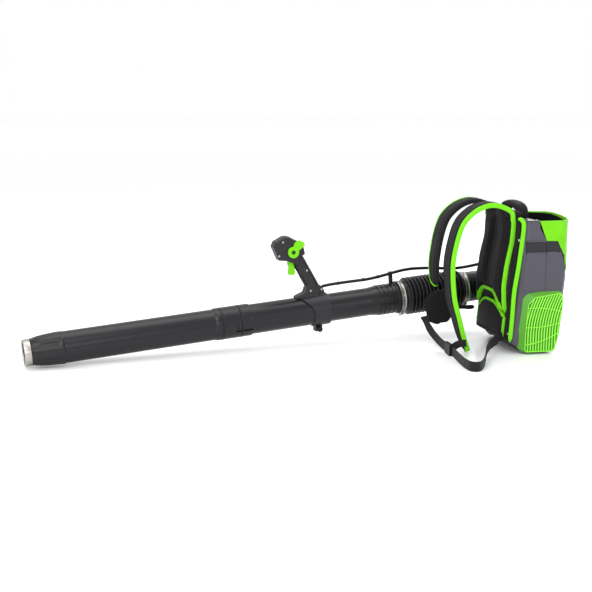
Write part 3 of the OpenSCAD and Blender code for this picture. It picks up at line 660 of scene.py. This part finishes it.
def upper_foot(y):
    return 124 + 62 * np.sin(np.clip((CUSHION_W - np.abs(y)) / 74, 0, 1) * math.pi / 2)


def lumbar_head(y):
    return 110 + 40 * np.sin(np.clip((CUSHION_W - np.abs(y)) / 84, 0, 1) * math.pi / 2)


def level(z):
    """An edge at one height."""
    return lambda y: z + 0 * y


def panel(name, y0, y1, half_t, foot, head, forward, material, rings=44, power=5.0):
    """An upright pad from y0 to y1 whose middle follows the spine, forward of it by so much."""
    points, fibre = [], []
    middle, half_w = (y0 + y1) / 2, (y1 - y0) / 2
    for v in np.linspace(0, 1, rings):
        full = rounding(v, 300, half_t * 1.4)
        loop = pillow(half_w, half_t, power, 100)
        y = middle + loop[:, 0] * (0.97 + 0.03 * full)
        z = foot(y) + (head(y) - foot(y)) * v
        x = spine_x(z) - forward - loop[:, 1] * full
        points.append(np.column_stack([x, y, z]))
        fibre.append(np.column_stack([z, y, 0 * y]))
    return finish_mesh(name, np.vstack(points), ring_faces(rings, 100), material, np.vstack(fibre))


def edge_path(half_w, foot, head, forward):
    """Down one side of a panel, then along its foot, then up the other side."""
    ys = np.linspace(half_w, -half_w, 33)
    down = [(half_w, z) for z in np.linspace(head(half_w), foot(half_w), 24)]
    up = [(-half_w, z) for z in np.linspace(foot(-half_w), head(-half_w), 24)]
    along_foot = [(y, foot(y)) for y in ys[1:-1]]
    return [np.array([(spine_x(z) - ahead, y, z) for y, z in run])
            for run, ahead in ((down, 0), (along_foot, forward), (up, 0))]


def back_pad():
    front = panel("pad_front", -CUSHION_W, CUSHION_W, 7.5, upper_foot, level(433.0), 0, CLOTH)
    padding(front, 0.7, "back_pad")
    lumbar = panel("pad_lumbar", -CUSHION_W, CUSHION_W, 7.5, level(44.0), lumbar_head, 0, CLOTH, 20)
    padding(lumbar, 0.7)
    for side, sign in (("left", -1), ("right", 1)):
        y0, y1 = sorted((sign * 17, sign * 99))
        cushion = panel(f"cushion_{side}", y0, y1, 6, lambda y: upper_foot(y) + 11, level(430.0), 6,
                        CLOTH, 30, 4)
        inflate(cushion, cap=9)
        place_fibre(cushion, (0, 0, 1), (0, 1, 0))
        padding(assign(cushion, CLOTH), 0.8)
    yoke = sweep("pad_yoke", [(-71, y, 428) for y in np.linspace(-104, 104, 40)], (1, 0, 0),
                 lambda u: pillow(19, 14, 3, 40) * (1, rounding(u, 208, 12)), CLOTH, 0.6)
    padding(yoke, 0.7)
    roll = panel("cushion_lumbar", -97, 97, 6, level(56.0), lambda y: lumbar_head(y) - 9, 6, CLOTH, 20, 4)
    inflate(roll, cap=11)
    place_fibre(roll, (0, 0, 1), (0, 1, 0))
    padding(assign(roll, CLOTH), 0.8)
    down, along_foot, up = edge_path(CUSHION_W - 1, upper_foot, level(424.0), 7.0)
    binding("pad_binding_right", down, (-1, 0, 0.05))
    binding("pad_binding_left", up, (-1, 0, 0.05))
    binding("pad_binding_foot", along_foot, (-1, 0, 0), half_w=8.0, half_t=4.6)
    top = [(spine_x(lumbar_head(y)) - 3, y, lumbar_head(y))
           for y in np.linspace(-CUSHION_W + 3, CUSHION_W - 3, 40)]
    binding("lumbar_binding_top", top, (-1, 0, 0), half_w=7.0, half_t=4.0)
    for name, y in (("left", -CUSHION_W + 1), ("right", CUSHION_W - 1)):
        side = [(spine_x(z), y, z) for z in np.linspace(48, 114, 20)]
        binding(f"lumbar_binding_{name}", side, (-1, 0, 0), half_w=6.0)


def on_back(x, y, z):
    """A point on the pack's front face: x out of the back, z upwards from its foot."""
    lean = math.radians(5.15)
    return (-90 + x * math.cos(lean) + z * math.sin(lean), y, 38 - x * math.sin(lean) + z * math.cos(lean))


def gusset():
    """Mesh between the front cushions and the rear panel, and the rear panel with its own binding."""
    rows = np.linspace(50, 422, 30)
    points, fibre = [], []
    for z in rows:
        rear = -97 + (z - 38) * 0.09
        front = spine_x(z) + 4
        ys = np.array([-100, -102, -112, -112, 112, 112, 102, 100])
        xs = np.array([front, front, rear - 4, rear, rear, rear - 4, front, front])
        waist = 3 * math.sin((z - 50) / 372 * math.pi)
        ys = ys - np.sign(ys) * waist
        points.append(np.column_stack([xs, ys, np.full(8, z)]))
        fibre.append(np.column_stack([np.full(8, z), xs + ys, np.zeros(8)]))
    sides = finish_mesh("gusset", np.vstack(points), ring_faces(len(rows), 8), NET, np.vstack(fibre),
                        smooth=False)
    on_pack(sides, "harness_cloth")
    path = np.array([on_back(-12, 0, z) for z in np.linspace(4, 378, 40)])
    rear_panel = sweep("rear_panel", path, (0, 1, 0),
                       lambda u: pillow(PANEL_W, 5.6, 7, 90) * (0.97 + 0.03 * rounding(u, 374, 12), 1),
                       CLOTH, 0.5)
    padding(rear_panel, 0.6)
    for side, sign in (("left", -1), ("right", 1)):
        y = sign * (PANEL_W + 4)
        route = smooth_route([on_back(-5, y, 0), on_back(-7, y, 80), on_back(-10, y, 155),
                              on_back(-6, y, 230), on_back(-4, y, 300), on_back(-4, y, 360),
                              on_back(-9, y - sign * 5, 378), on_back(-20, y - sign * 12, 384)], 6)
        binding(f"rear_binding_{side}", route, (1, 0, 0.09), half_w=7.0, half_t=2.8)


def grab_handle():
    """Padded sleeve over the carry handle on the pack's front rim."""
    path = smooth_route([(-39, -66, 417), (-39, -66, 431), (-39, -56, 446), (-39, -28, 453), (-39, 0, 455),
                         (-39, 28, 453), (-39, 56, 446), (-39, 66, 431), (-39, 66, 417)], 7)
    grip = sweep("grab_sleeve", path, (1, 0, 0), lambda u: pillow(18.5, 12, 2.8, 48), CLOTH, 0.8)
    on_pack(grip, "black_plastic", "grab_handle")


# ---------------------------------------------------------------- hip wings, webbing and buckle
WING_RIGHT = [(-118, 106, 108, 24), (-150, 104, 108, 24), (-176, 103, 111, 36), (-204, 101, 116, 112),
              (-240, 91, 116, 130), (-276, 76, 112, 122), (-303, 60, 102, 88)]
WING_LEFT = [(-108, -112.6, 57, 44), (-118, -114, 54, 44), (-126, -117, 50, 40), (-136, -123, 44, 36)]
WEB_LEFT = [(-130, -120, 47), (-137, -124, 43.4), (-146, -129, 40), (-164, -144, 34), (-188, -180, 26),
            (-212, -235, 19), (-244, -298, 15.5), (-268, -326, 15.3), (-288, -318, 15.3), (-292, -280, 15.3),
            (-289, -230, 15.5), (-284, -180, 16.5), (-281, -150, 17.5), (-280, -133, 17.8)]
WEB_RIGHT = [(-280, -71.5, 20.2), (-281, -48, 21), (-283, -14, 26), (-290, 20, 40), (-298, 44, 58),
             (-303, 60, 78), (-306, 64, 92)]
WEB_TAIL = [(-276, -118, 26), (-272, -125, 31), (-266, -135, 39), (-257, -147, 45), (-245, -157, 48)]


def hip_wing(side, route, half_t, cap):
    run = smooth_route(route, 6)
    path, widths = run[:, :3], run[:, 3]
    length = travel(path)[-1]

    def section(u):
        width = np.interp(u, travel(path) / length, widths) / 2
        full = rounding(u, length, 12)
        return pillow(max(width - 5, 8) * (0.75 + 0.25 * full), half_t * full, 3.0, 60)

    wing = sweep(f"wing_{side}", path, (0, 0, 1), section, CLOTH, 1.2)
    inflate(wing, cap=cap, voxel=4.0)
    place_fibre(wing, (1, 0, 0), (0, 0, 1))
    padding(assign(wing, CLOTH), 0.7, f"hip_wing_{side}")


def webbing(name, route, width, *nodes):
    path = smooth_route(route, 6)
    tape_piece = sweep(name, path, (0, 0, 1), lambda u: pillow(width / 2, 1.2, 6, 40), WEBBING, 0.12)
    return on_pack(tape_piece, "webbing", *nodes)


def waist_belt():
    hip_wing("right", WING_RIGHT, 4.5, 2.5)
    hip_wing("left", WING_LEFT, 3.5, 3)
    webbing("web_left", WEB_LEFT, 30, "waist_webbing_left")
    webbing("web_right", WEB_RIGHT, 30, "waist_webbing_right")
    webbing("web_tail", WEB_TAIL, 22, "webbing_tail")
    moulded("buckle_socket_moulded", ["buckle_socket"], 0.8, 3)
    moulded("buckle_tongue_moulded", ["buckle_tongue"], 0.8, 3)


shoulder_strap("left", -1, 19)
shoulder_strap("right", 1, 8)
back_pad()
gusset()
grab_handle()
waist_belt()


# ---------------------------------------------------------------- housing skins
def skin(name, columns, rows, material, slot_name, thickness=2.5, bevel=2.0, nodes=()):
    """A thin moulded wall through a grid of points: columns(i) gives the points of one upright line."""
    grid = [columns(i) for i in range(rows)]
    count = len(grid[0])
    points = [point for line in grid for point in line]
    faces = [(i * count + k, i * count + k + 1, (i + 1) * count + k + 1, (i + 1) * count + k)
             for i in range(len(grid) - 1) for k in range(count - 1)]
    made = finish_mesh(name, points, faces, material, smooth=False)
    centre = made.data.polygons[len(made.data.polygons) // 4]
    if centre.normal.y * centre.center.y + centre.normal.x * centre.center.x < 0:
        made.data.flip_normals()
    modified(made, "SOLIDIFY", thickness=thickness * MM, offset=-1)
    modified(made, "BEVEL", width=bevel * MM, segments=3, limit_method="ANGLE", angle_limit=math.radians(14))
    made.data.shade_smooth()
    modified(made, "WEIGHTED_NORMAL")
    return on_pack(made, slot_name, *nodes)


def both_sides(half):
    """Points round the back from the wearer's left side to the right, from those on the left."""
    return half + [(x, -y, z) for x, y, z in reversed(half) if abs(y) > 0.1]


# x top, x foot, y top, y foot, z top, z foot of each upright line, from the side round to the back
HOOD_PLAN = [(-12, 12, -142.5, -143, 415, 353), (66, 50, -142.5, -143, 415, 351),
             (80, 74, -132, -135, 415.5, 308), (93, 91, -113, -119, 416.5, 262),
             (96, 95.5, -98, -104, 418, 246), (96.5, 96, -60, -64, 422, 240), (96.5, 96.5, 0, 0, 424.5, 240)]


def hood_line(i):
    """One level of the lime hood: its brow, the crease under the brow, then down to its foot."""
    share = (0.0, 0.06, 0.115, 0.4, 0.7, 1.0)[i]
    out = (0, 1.2, 0, 0, 0, 0)[i]
    return both_sides([(x0 + (x1 - x0) * share + (out if y0 > -110 else 0),
                        y0 + (y1 - y0) * share - (out if y0 else 0),
                        z0 + (z1 - z0) * share) for x0, x1, y0, y1, z0, z1 in HOOD_PLAN])


# (z, x) of the rear wall's middle
REAR_X = [(4, 46), (14, 57), (60, 70), (166, 85), (268, 95), (300, 97), (346, 97)]
# x, or x from the back; y from the side; height of the top edge
REAR_PLAN = [(14.6, None, 0, 319), (None, -49, 0, 318.5), (None, -30, 0, 302), (None, -18, 4, 274),
             (None, -5, 18, 238), (None, -0.6, 38, 224), (None, 0, 142, 220)]


def rear_line(share, drawn=0.0, low=5.0, tops=None):
    """One level of the rear shell's wall; its top edge drops round the corner, below the hood's."""
    heights, places = zip(*REAR_X)
    run = []
    for x, from_back, from_side, top in REAR_PLAN:
        z = low + ((tops or top) - low) * share
        back = np.interp(z, heights, places) - drawn
        side = np.interp(z, [4, 14, 60, 190, 308], [127, 134, 139, 141.5, 141.5]) - drawn
        run.append((x if from_back is None else back + from_back, min(-side + from_side, 0.0), z))
    return both_sides(run)


# x, y and height of the edge of the rim's lining
RIM_FOOT = 380
RIM_PLAN = [(-21, -125, 411), (58, -126, 412), (78, -112, 413), (86, -60, 417), (88, 0, 420)]


def lining_line(i):
    """One level of the lining inside the rim: its foot, then its edge."""
    return both_sides([(x, y, (RIM_FOOT, top)[i]) for x, y, top in RIM_PLAN])


def housing_skins():
    skin("hood_skin", hood_line, 6, MATERIALS["lime_plastic"], "lime_plastic", 3, 1.6, ("upper_hood",))
    shares = [0, 0.03, 0.18, 0.38, 0.6, 0.8, 1]
    skin("rear_skin", lambda i: rear_line(shares[i]), len(shares), GREY, "housing_grey", 2.5, 2.0)
    # the band under the hood is a darker grey: painted shade in the recess
    skin("recess_band", lambda i: rear_line(i / 3, 3.6, 205.0, 352.0), 4, RECESS_SHADE, "housing_grey", 2, 0.5)
    main = rounded([(-51, 318), (12.4, 318), (12.4, 198), (-66, 198)], 5)
    upper = rounded([(-46, 396), (-13, 396), (12.4, 354), (12.4, 350), (-51, 350)], 4)
    for side, sign in (("left", -1), ("right", 1)):
        # the grooves take the same darker grey: painted shade
        groove = plate(f"recess_{side}", [(-51.5, 317), (13, 317), (13, 351), (-51.5, 351)], sign * 136,
                       sign * 139.8, RECESS_SHADE, 0.5)
        on_pack(groove, "housing_grey")
        for name, outline, low in (("main", main, sign * 139.5), ("upper", upper, sign * 138)):
            if side == "right" and name == "main":
                outline = rounded([(-51, 318), (12.4, 318), (12.4, 240), (-60, 240)], 5)
            piece = plate(f"panel_{name}_{side}", outline, low, sign * 142.6, GREY, 1.6)
            on_pack(piece, "housing_grey")
    skin("rim_lining", lining_line, 2, MATT, "black_plastic", 2, 0.6)
    for sign in (-1, 1):
        ledge = plate(f"ledge_{sign + 1}", [(-52, 413), (-14, 413), (-14, 416.6), (-52, 416.6)], sign * 128,
                      sign * 141, GREY, 1.2)
        on_pack(ledge, "housing_grey")


# ---------------------------------------------------------------- side covers and their grilles
COVER_BASE = [(-66, 182), (-58, 199), (58, 200), (72, 193), (78, 172), (69, 62), (54, 12), (42, 4), (-54, 4),
              (-70, 20), (-79, 60)]
COVER_FACE = [(-44, 159), (-23, 180), (59, 191), (67, 183), (70, 158), (60, 62), (47, 14), (40, 7), (-45, 7),
              (-53, 14), (-49, 101)]
COVER_Y, FACE_Y, FLOOR_Y = 133.0, 151.6, 146.5
SLAT_PITCH, SLAT_COUNT = 8.9, 14
DUCT_X, DUCT_Z = -14, 165             # axis of the fan duct, which runs across the pack


def slat_x(i, z):
    """Slats stand upright at the bottom and rake backwards higher up."""
    return -50 + SLAT_PITCH * i + 0.002 * max(z - 60, 0) ** 2


def cover_shell(sign, side):
    """The sloped sides of a cover round the edge of its recessed grille."""
    loops = [(COVER_BASE, COVER_Y, 1.0), (COVER_FACE, FACE_Y, 1.0), (COVER_FACE, FACE_Y, 0.965),
             (COVER_FACE, FLOOR_Y, 0.955)]
    centre = np.array(COVER_FACE, float).mean(axis=0)
    points = []
    for outline, y, scale in loops:
        points += [(x, sign * y, z) for x, z in centre + (np.array(outline, float) - centre) * scale]
    count = len(COVER_BASE)
    faces = ring_faces(len(loops), count, caps=False) + [tuple(range(3 * count, 4 * count))]
    made = finish_mesh(f"cover_{side}", points, faces, MATERIALS["lime_plastic"], smooth=False)
    middle = made.data.polygons[len(made.data.polygons) - 1]
    if middle.normal.y * sign < 0:
        made.data.flip_normals()
    # the sloped sides take a darker lime, painted shade, and the grille's floor a darker one still, painted
    # shade in the recess
    for material in (LIME_PAINTED_SHADE, LIME_RECESS_SHADE):
        made.data.materials.append(material)
    for face in made.data.polygons[:count]:
        face.material_index = 1
    made.data.polygons[len(made.data.polygons) - 1].material_index = 2
    modified(made, "BEVEL", width=1.6 * MM, segments=3, limit_method="ANGLE", angle_limit=math.radians(20))
    made.data.shade_smooth()
    return modified(made, "WEIGHTED_NORMAL")


def grille_run(name, points, sign, half_w, y):
    """A thin bar of the grille along (x, z) points, kept within the grille's edge."""
    kept = [(x, sign * y, z) for x, z in points if inside((x, z), np.array(COVER_FACE, float))]
    if len(kept) < 3:
        return None
    upright = abs(kept[-1][2] - kept[0][2]) > abs(kept[-1][0] - kept[0][0])
    side = (1, 0, 0) if upright else (0, 0, 1)
    # the bars take a lighter lime than the cover: painted light
    return sweep(name, kept, side, lambda u: pillow(half_w, 2.4, 3, 12), LIME_PAINTED_LIGHT)


def grille(sign, side):
    bars = []
    for i in range(SLAT_COUNT):
        run = [(slat_x(i, z), z) for z in np.linspace(8, 190, 60)]
        bars.append(grille_run(f"slat_{side}_{i}", run, sign, 1.9, FLOOR_Y + 1.6))
    for k, (z0, z1, sag) in enumerate(((146, 133, 5), (85, 96, -4), (30, 67, -6))):
        run = [(x, z0 + (z1 - z0) * (x + 50) / 113 + sag * math.sin((x + 50) / 113 * math.pi))
               for x in np.linspace(-56, 72, 60)]
        bars.append(grille_run(f"crossbar_{side}_{k}", run, sign, 1.3, FLOOR_Y + 3.2))
    rim = np.array(COVER_FACE + COVER_FACE[:1], float)
    rim = np.vstack([np.linspace(a, b, 8, endpoint=False) for a, b in zip(rim, rim[1:])])
    centre = np.array(COVER_FACE, float).mean(axis=0)
    rim = centre + (rim - centre) * 0.985
    rim = [(x, sign * FACE_Y, z) for x, z in np.vstack([rim, rim[:1]])]
    # the grille's edge is in the same lighter lime: painted light
    bars.append(sweep(f"grille_edge_{side}", rim, (0, 1, 0), lambda u: pillow(1.0, 1.0, 2, 10), LIME_PAINTED_LIGHT))
    return joined(f"grille_{side}", [bar for bar in bars if bar])


def side_covers():
    for side, sign in (("left", -1), ("right", 1)):
        shell = cover_shell(sign, side)
        bars = grille(sign, side)
        on_pack(shell, "lime_plastic", f"side_cover_{side}")
        on_pack(bars, "lime_plastic", f"side_cover_{side}")
        if side == "right":
            for piece in (shell, bars):
                cut_round_hole(piece, (DUCT_X, 140, DUCT_Z), 62)


def cut_round_hole(piece, centre, radius):
    """Opens piece for a duct that runs across the pack."""
    cutter = bpy.data.meshes.new("cutter")
    shape = bmesh.new()
    place = Matrix.Translation(mm(*centre)) @ Matrix.Rotation(math.pi / 2, 4, "X")
    bmesh.ops.create_cone(shape, cap_ends=True, segments=96, radius1=radius * MM, radius2=radius * MM,
                          depth=90 * MM, matrix=place)
    shape.to_mesh(cutter)
    shape.free()
    tool = bpy.data.objects.new("cutter", cutter)
    bpy.context.scene.collection.objects.link(tool)
    modified(piece, "BOOLEAN", operation="DIFFERENCE", object=tool, solver="EXACT")
    bpy.data.objects.remove(tool)


# ---------------------------------------------------------------- battery
def battery():
    for node in ("battery_case", "battery_bay", "harness_frame"):
        assign(NODES[node], MATT)
    for i, y in enumerate((-74, -58, 58, 74)):
        outline = rounded([(-14, 392), (48, 392), (48, 395.5), (-14, 395.5)], 1.2)
        rib = plate(f"battery_rib_{i}", outline, y - 3, y + 3, MATT, 0.8)
        attached(rib, "black_plastic", BODY_OF["battery_case"])


housing_skins()
side_covers()
battery()


# ---------------------------------------------------------------- bellows hose, clamps and cable
def folded_wall(s0, s1, count, r_low=53.0, r_high=61.5, steps=14):
    """The outer profile of a bellows: round crests and narrower valleys."""
    profile = []
    for k in range(count * steps + 1):
        share = k / steps
        wave = 0.5 - 0.5 * math.cos(2 * math.pi * share)
        profile.append((r_low + (r_high - r_low) * wave ** 0.6, s0 + (s1 - s0) * share / count))
    return profile


def flexible(piece, node, a, b):
    """piece stands for node; it rides on body a when a and b are the same body, and otherwise stays fixed in
    place.
    """
    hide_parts(node)
    if a == b:
        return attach(piece, a)
    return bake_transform(piece)


HOSE_WALL = 2.2


def hose_piece(name, outer, a, b, node):
    inner = [(r - HOSE_WALL, s) for r, s in reversed(outer)]
    piece = lathe(name, outer + inner, MATERIALS["soft_rubber"], 112)
    return flexible(piece, node, a, b)


def bellows():
    cuff_rear = [(52.2, -12), (52.4, 4), (53.4, 8)]
    cuff_front = [(53.4, 218), (52.4, 222), (52.2, 242)]
    hose_piece("hose_rear", cuff_rear + folded_wall(12, 102.2, 7), "pack", "hose", "bellows_rear")
    hose_piece("hose_middle", folded_wall(102.2, 119.8, 1), "hose", "hose", "bellows_middle")
    hose_piece("hose_front", folded_wall(119.8, 212, 7) + cuff_front, "hose", "tube",
               "bellows_front")


CLAMP_SLOTS = 74
BOX_FACES = ((0, 3, 2, 1), (4, 5, 6, 7), (0, 1, 5, 4), (1, 2, 6, 5), (2, 3, 7, 6), (3, 0, 4, 7))


def clamp(name, s, node, body):
    """Worm-drive band: a rolled edge on each side and a row of slots punched across it."""
    profile = [(52.2, s - 7), (53.6, s - 7), (54.0, s - 6.2), (53.4, s - 5.4), (53.2, s + 5.4),
               (54.0, s + 6.2), (53.6, s + 7), (52.2, s + 7)]
    band = lathe(f"{name}_band", profile, MATERIALS["steel"], 128)
    slots = []
    for k in range(CLAMP_SLOTS):
        angle = 2 * math.pi * k / CLAMP_SLOTS
        direction = UP * math.cos(angle) + RIGHT * math.sin(angle)
        tangent = -UP * math.sin(angle) + RIGHT * math.cos(angle)
        middle = HOSE_ROOT + (ALONG * s + direction * 53.3) * MM
        box_points = [middle + (ALONG * x * 4.2 + tangent * y * 0.75 + direction * z * 0.25) * MM
                      for z in (-1, 1) for x, y in ((-1, -1), (1, -1), (1, 1), (-1, 1))]
        slots.append([tuple(p / MM) for p in box_points])
    points = [p for block in slots for p in block]
    faces = [tuple(8 * k + i for i in face) for k in range(CLAMP_SLOTS) for face in BOX_FACES]
    holes = finish_mesh(f"{name}_slots", points, faces, DARK_HOLE, smooth=False)
    for piece in (band, holes):
        attached(piece, "steel", body)
    moulded(f"{name}_housing", [node], 0.7, 1)


def elbow():
    """The smooth elbow between the fan duct and the hose, with its flange on the pack's side."""
    bend, straight, turn = 62.0, 52.0, math.radians(98)
    route = [(8, 0), (-20, 0)] + [(-straight - bend * math.sin(a), bend * (math.cos(a) - 1))
                                  for a in np.linspace(0, turn, 28)]
    route.append((route[-1][0] - 6 * math.cos(turn), route[-1][1] - 6 * math.sin(turn)))
    path = [np.array(on_tube(s, 0, w)) / MM for s, w in route]
    duct = pipe("elbow_duct", path, tuple(UP), 49.9, 46.9, BLACK, 112)
    on_pack(duct, "black_plastic", "outlet_elbow")
    a = np.linspace(0, 2 * math.pi, 96, endpoint=False)
    profile = [(48, 141.2), (59, 141.2), (60, 142.2), (60, 145), (59, 146), (52.5, 146), (50.4, 148.5),
               (48, 149)]
    rings = [np.column_stack([DUCT_X + r * np.cos(a), np.full(96, y), DUCT_Z + r * np.sin(a)])
             for r, y in profile]
    flange = finish_mesh("elbow_flange", np.vstack(rings), ring_faces(len(profile), 96, caps=False), BLACK)
    on_pack(flange, "black_plastic", "outlet_elbow")


LEAD_R = 5.0
# Routes in the tube's frame: height over its axis, offset across it, distance along it
LEAD_FRONT = [(72, 0, 496), (74, 0, 470), (74.5, 0, 440), (74.5, 0, 400), (74, 0, 360), (74.5, 0, 330),
              (77, 0, 300), (80, 0, 274), (82.5, 0, 255)]
LEAD_MIDDLE = [(82.5, 0, 255), (85, 0, 236), (87.5, 0, 210), (88, 0, 180), (86, 0, 150), (83, 0, 119.9)]
LEAD_REAR = [(83, 0, 119.9), (79, 0, 90), (74, 0, 60), (70, -1, 30), (69, -3, 0), (71, -8, -30),
             (75, -16, -58), (80, -26, -80), (84, -35, -92), (86, -45, -94)]


def lead(name, points, a, b, node):
    path = [on_tube(s, h, w) / MM for h, w, s in points]
    run = smooth_route(path, 8)
    piece = sweep(name, run, (0, 1, 0), lambda u: pillow(LEAD_R, LEAD_R, 2, 20), MATERIALS["soft_rubber"])
    return flexible(piece, node, a, b)


def control_cable():
    lead("lead_front", LEAD_FRONT, "tube", "handle", "cable_front")
    lead("lead_middle", LEAD_MIDDLE, "hose", "tube", "cable_middle")
    lead("lead_rear", LEAD_REAR, "pack", "hose", "cable_rear")
    moulded("cable_clip_moulded", ["cable_clip"], 0.7, 2)
    for k, s in enumerate((440, 352, 300)):
        profile = [(LEAD_R, -2), (LEAD_R + 1, -2), (LEAD_R + 1, 2), (LEAD_R, 2)]
        tie = lathe(f"cable_tie_{k}", profile, BLACK, 20, s)
        tie.data.transform(Matrix.Translation(UP * (74.6 if s > 340 else 77) * MM))
        attached(tie, "black_plastic", "tube")


# ---------------------------------------------------------------- nozzle
def fluted_radius(s):
    heights, radii = zip((858, 50.6), (866, 48), (1334, 48), (1352, 47.6), (1378, 46), (1402, 43.4),
                         (1416, 40.6), (1421, 39.2))
    return np.interp(s, heights, radii)


FLUTES, FLUTE_DEPTH = 6, 5.2


def nozzle():
    """The tapered end with its scooped flutes, and the steel ring with a welded seam."""
    turns = 144
    rows = [1330, 1336, 1342, 1346, 1350, 1354, 1360, 1368, 1378, 1388, 1396, 1402, 1408, 1413, 1416, 1421,
            1426]
    points = []
    for s in rows:
        for k in range(turns):
            angle = 2 * math.pi * k / turns
            near = math.cos(FLUTES * angle)
            hollow = np.clip((near - 0.1) / 0.9, 0, 1) ** 0.8
            start = np.clip((s - 1338 - (1 - hollow) * 14) / 14, 0, 1)
            depth = FLUTE_DEPTH * hollow * start * np.clip((1424 - s) / 26, 0, 1) ** 0.5
            radius = fluted_radius(s) + 0.35 - depth
            spoke = UP * math.cos(angle) + RIGHT * math.sin(angle)
            points.append((HOSE_ROOT + (ALONG * s + spoke * radius) * MM) / MM)
    faces = ring_faces(len(rows), turns, caps=False)
    tip = finish_mesh("nozzle_flutes", points, faces, MATERIALS["tube_black"])
    modified(tip, "SOLIDIFY", thickness=0.8 * MM, offset=-1)
    tip.data.shade_smooth()
    attached(tip, "tube_black", "nozzle")
    rolled = [(38.2, 1427), (39.7, 1426.4), (40, 1427.2), (40, 1443), (39.8, 1445.6), (39.2, 1447),
              (38.2, 1447.4), (37.0, 1446.6), (36.6, 1444), (36.6, 1427)]
    ring = lathe("nozzle_ring_rolled", rolled, MATERIALS["steel"], 160)
    attached(ring, "steel", "nozzle", "nozzle_ring")
    for k, angle in enumerate((0.35, 0.52)):
        direction = RIGHT * -math.sin(angle) + UP * math.cos(angle)
        tangent = RIGHT * math.cos(angle) + UP * math.sin(angle)
        base = HOSE_ROOT / MM + ALONG * 1428 + direction * 39.9
        seam = sweep(f"ring_seam_{k}", [base + ALONG * t for t in np.linspace(0, 15, 6)], tangent,
                     lambda u: pillow(0.35, 0.22, 2, 8), DARK_HOLE)
        attached(seam, "steel", "nozzle")


def tube_details():
    """Moulded rings on the tubes: at the nozzle's socket, and at the end of the swivel tube."""
    rings = [("tube", 246, 49.9, 47.8, 4), ("nozzle", 781.5, 50.9, 49.6, 2.2),
             ("nozzle", 842, 50.9, 49.6, 2.2)]
    for k, (body, s, r_out, r_in, half) in enumerate(rings):
        profile = [(r_in, s - half), (r_out - 0.6, s - half), (r_out, s - half + 0.6),
                   (r_out, s + half - 0.6), (r_out - 0.6, s + half), (r_in, s + half)]
        ring = lathe(f"tube_ring_{k}", profile, MATERIALS["tube_black"], 128)
        attached(ring, "tube_black", body)


# ---------------------------------------------------------------- control handle
DIAL_S, DIAL_H = 592.0, 197.0


def dial_ring(name, profile, material):
    """A ring round the cruise dial's axis, from (radius, distance out of the handle's left side) points."""
    a = np.linspace(0, 2 * math.pi, 64, endpoint=False)
    along, up, right = (np.array(v) for v in (ALONG, UP, RIGHT))
    middle = np.array(on_tube(DIAL_S, DIAL_H)) / MM
    spoke = along * np.cos(a)[:, None] + up * np.sin(a)[:, None]
    rings = [middle + spoke * r - right * out for r, out in profile]
    made = finish_mesh(name, np.vstack(rings), ring_faces(len(rings), 64), material)
    return attached(made, "lime_plastic" if material is LIME_HARD else "black_plastic", "cruise")


def handle():
    for side in ("left", "right"):
        half = moulded(f"handle_{side}_moulded", [f"handle_{side}"], 1.3, 12)
        assign(half, HANDLE_BLACK)
    moulded("trigger_moulded", ["trigger"], 0.8, 4)
    moulded("cruise_moulded", ["cruise_lever"], 0.7, 3)
    moulded("knob_moulded", ["clamp_knob"], 0.8, 2)
    dial_ring("dial_step", [(11.5, 25), (14, 25.4), (14, 26.3), (11.2, 26.6)], LIME_HARD)
    dial_ring("dial_button", [(6.2, 24), (6.2, 26.8), (5.4, 27.6), (0.5, 27.8)], DARK_HOLE)


bellows()
clamp("rear_clamp", 1, "rear_clamp_screw", "pack")
clamp("front_clamp", 232, "front_clamp_screw", "tube")
elbow()
control_cable()
nozzle()
tube_details()
handle()
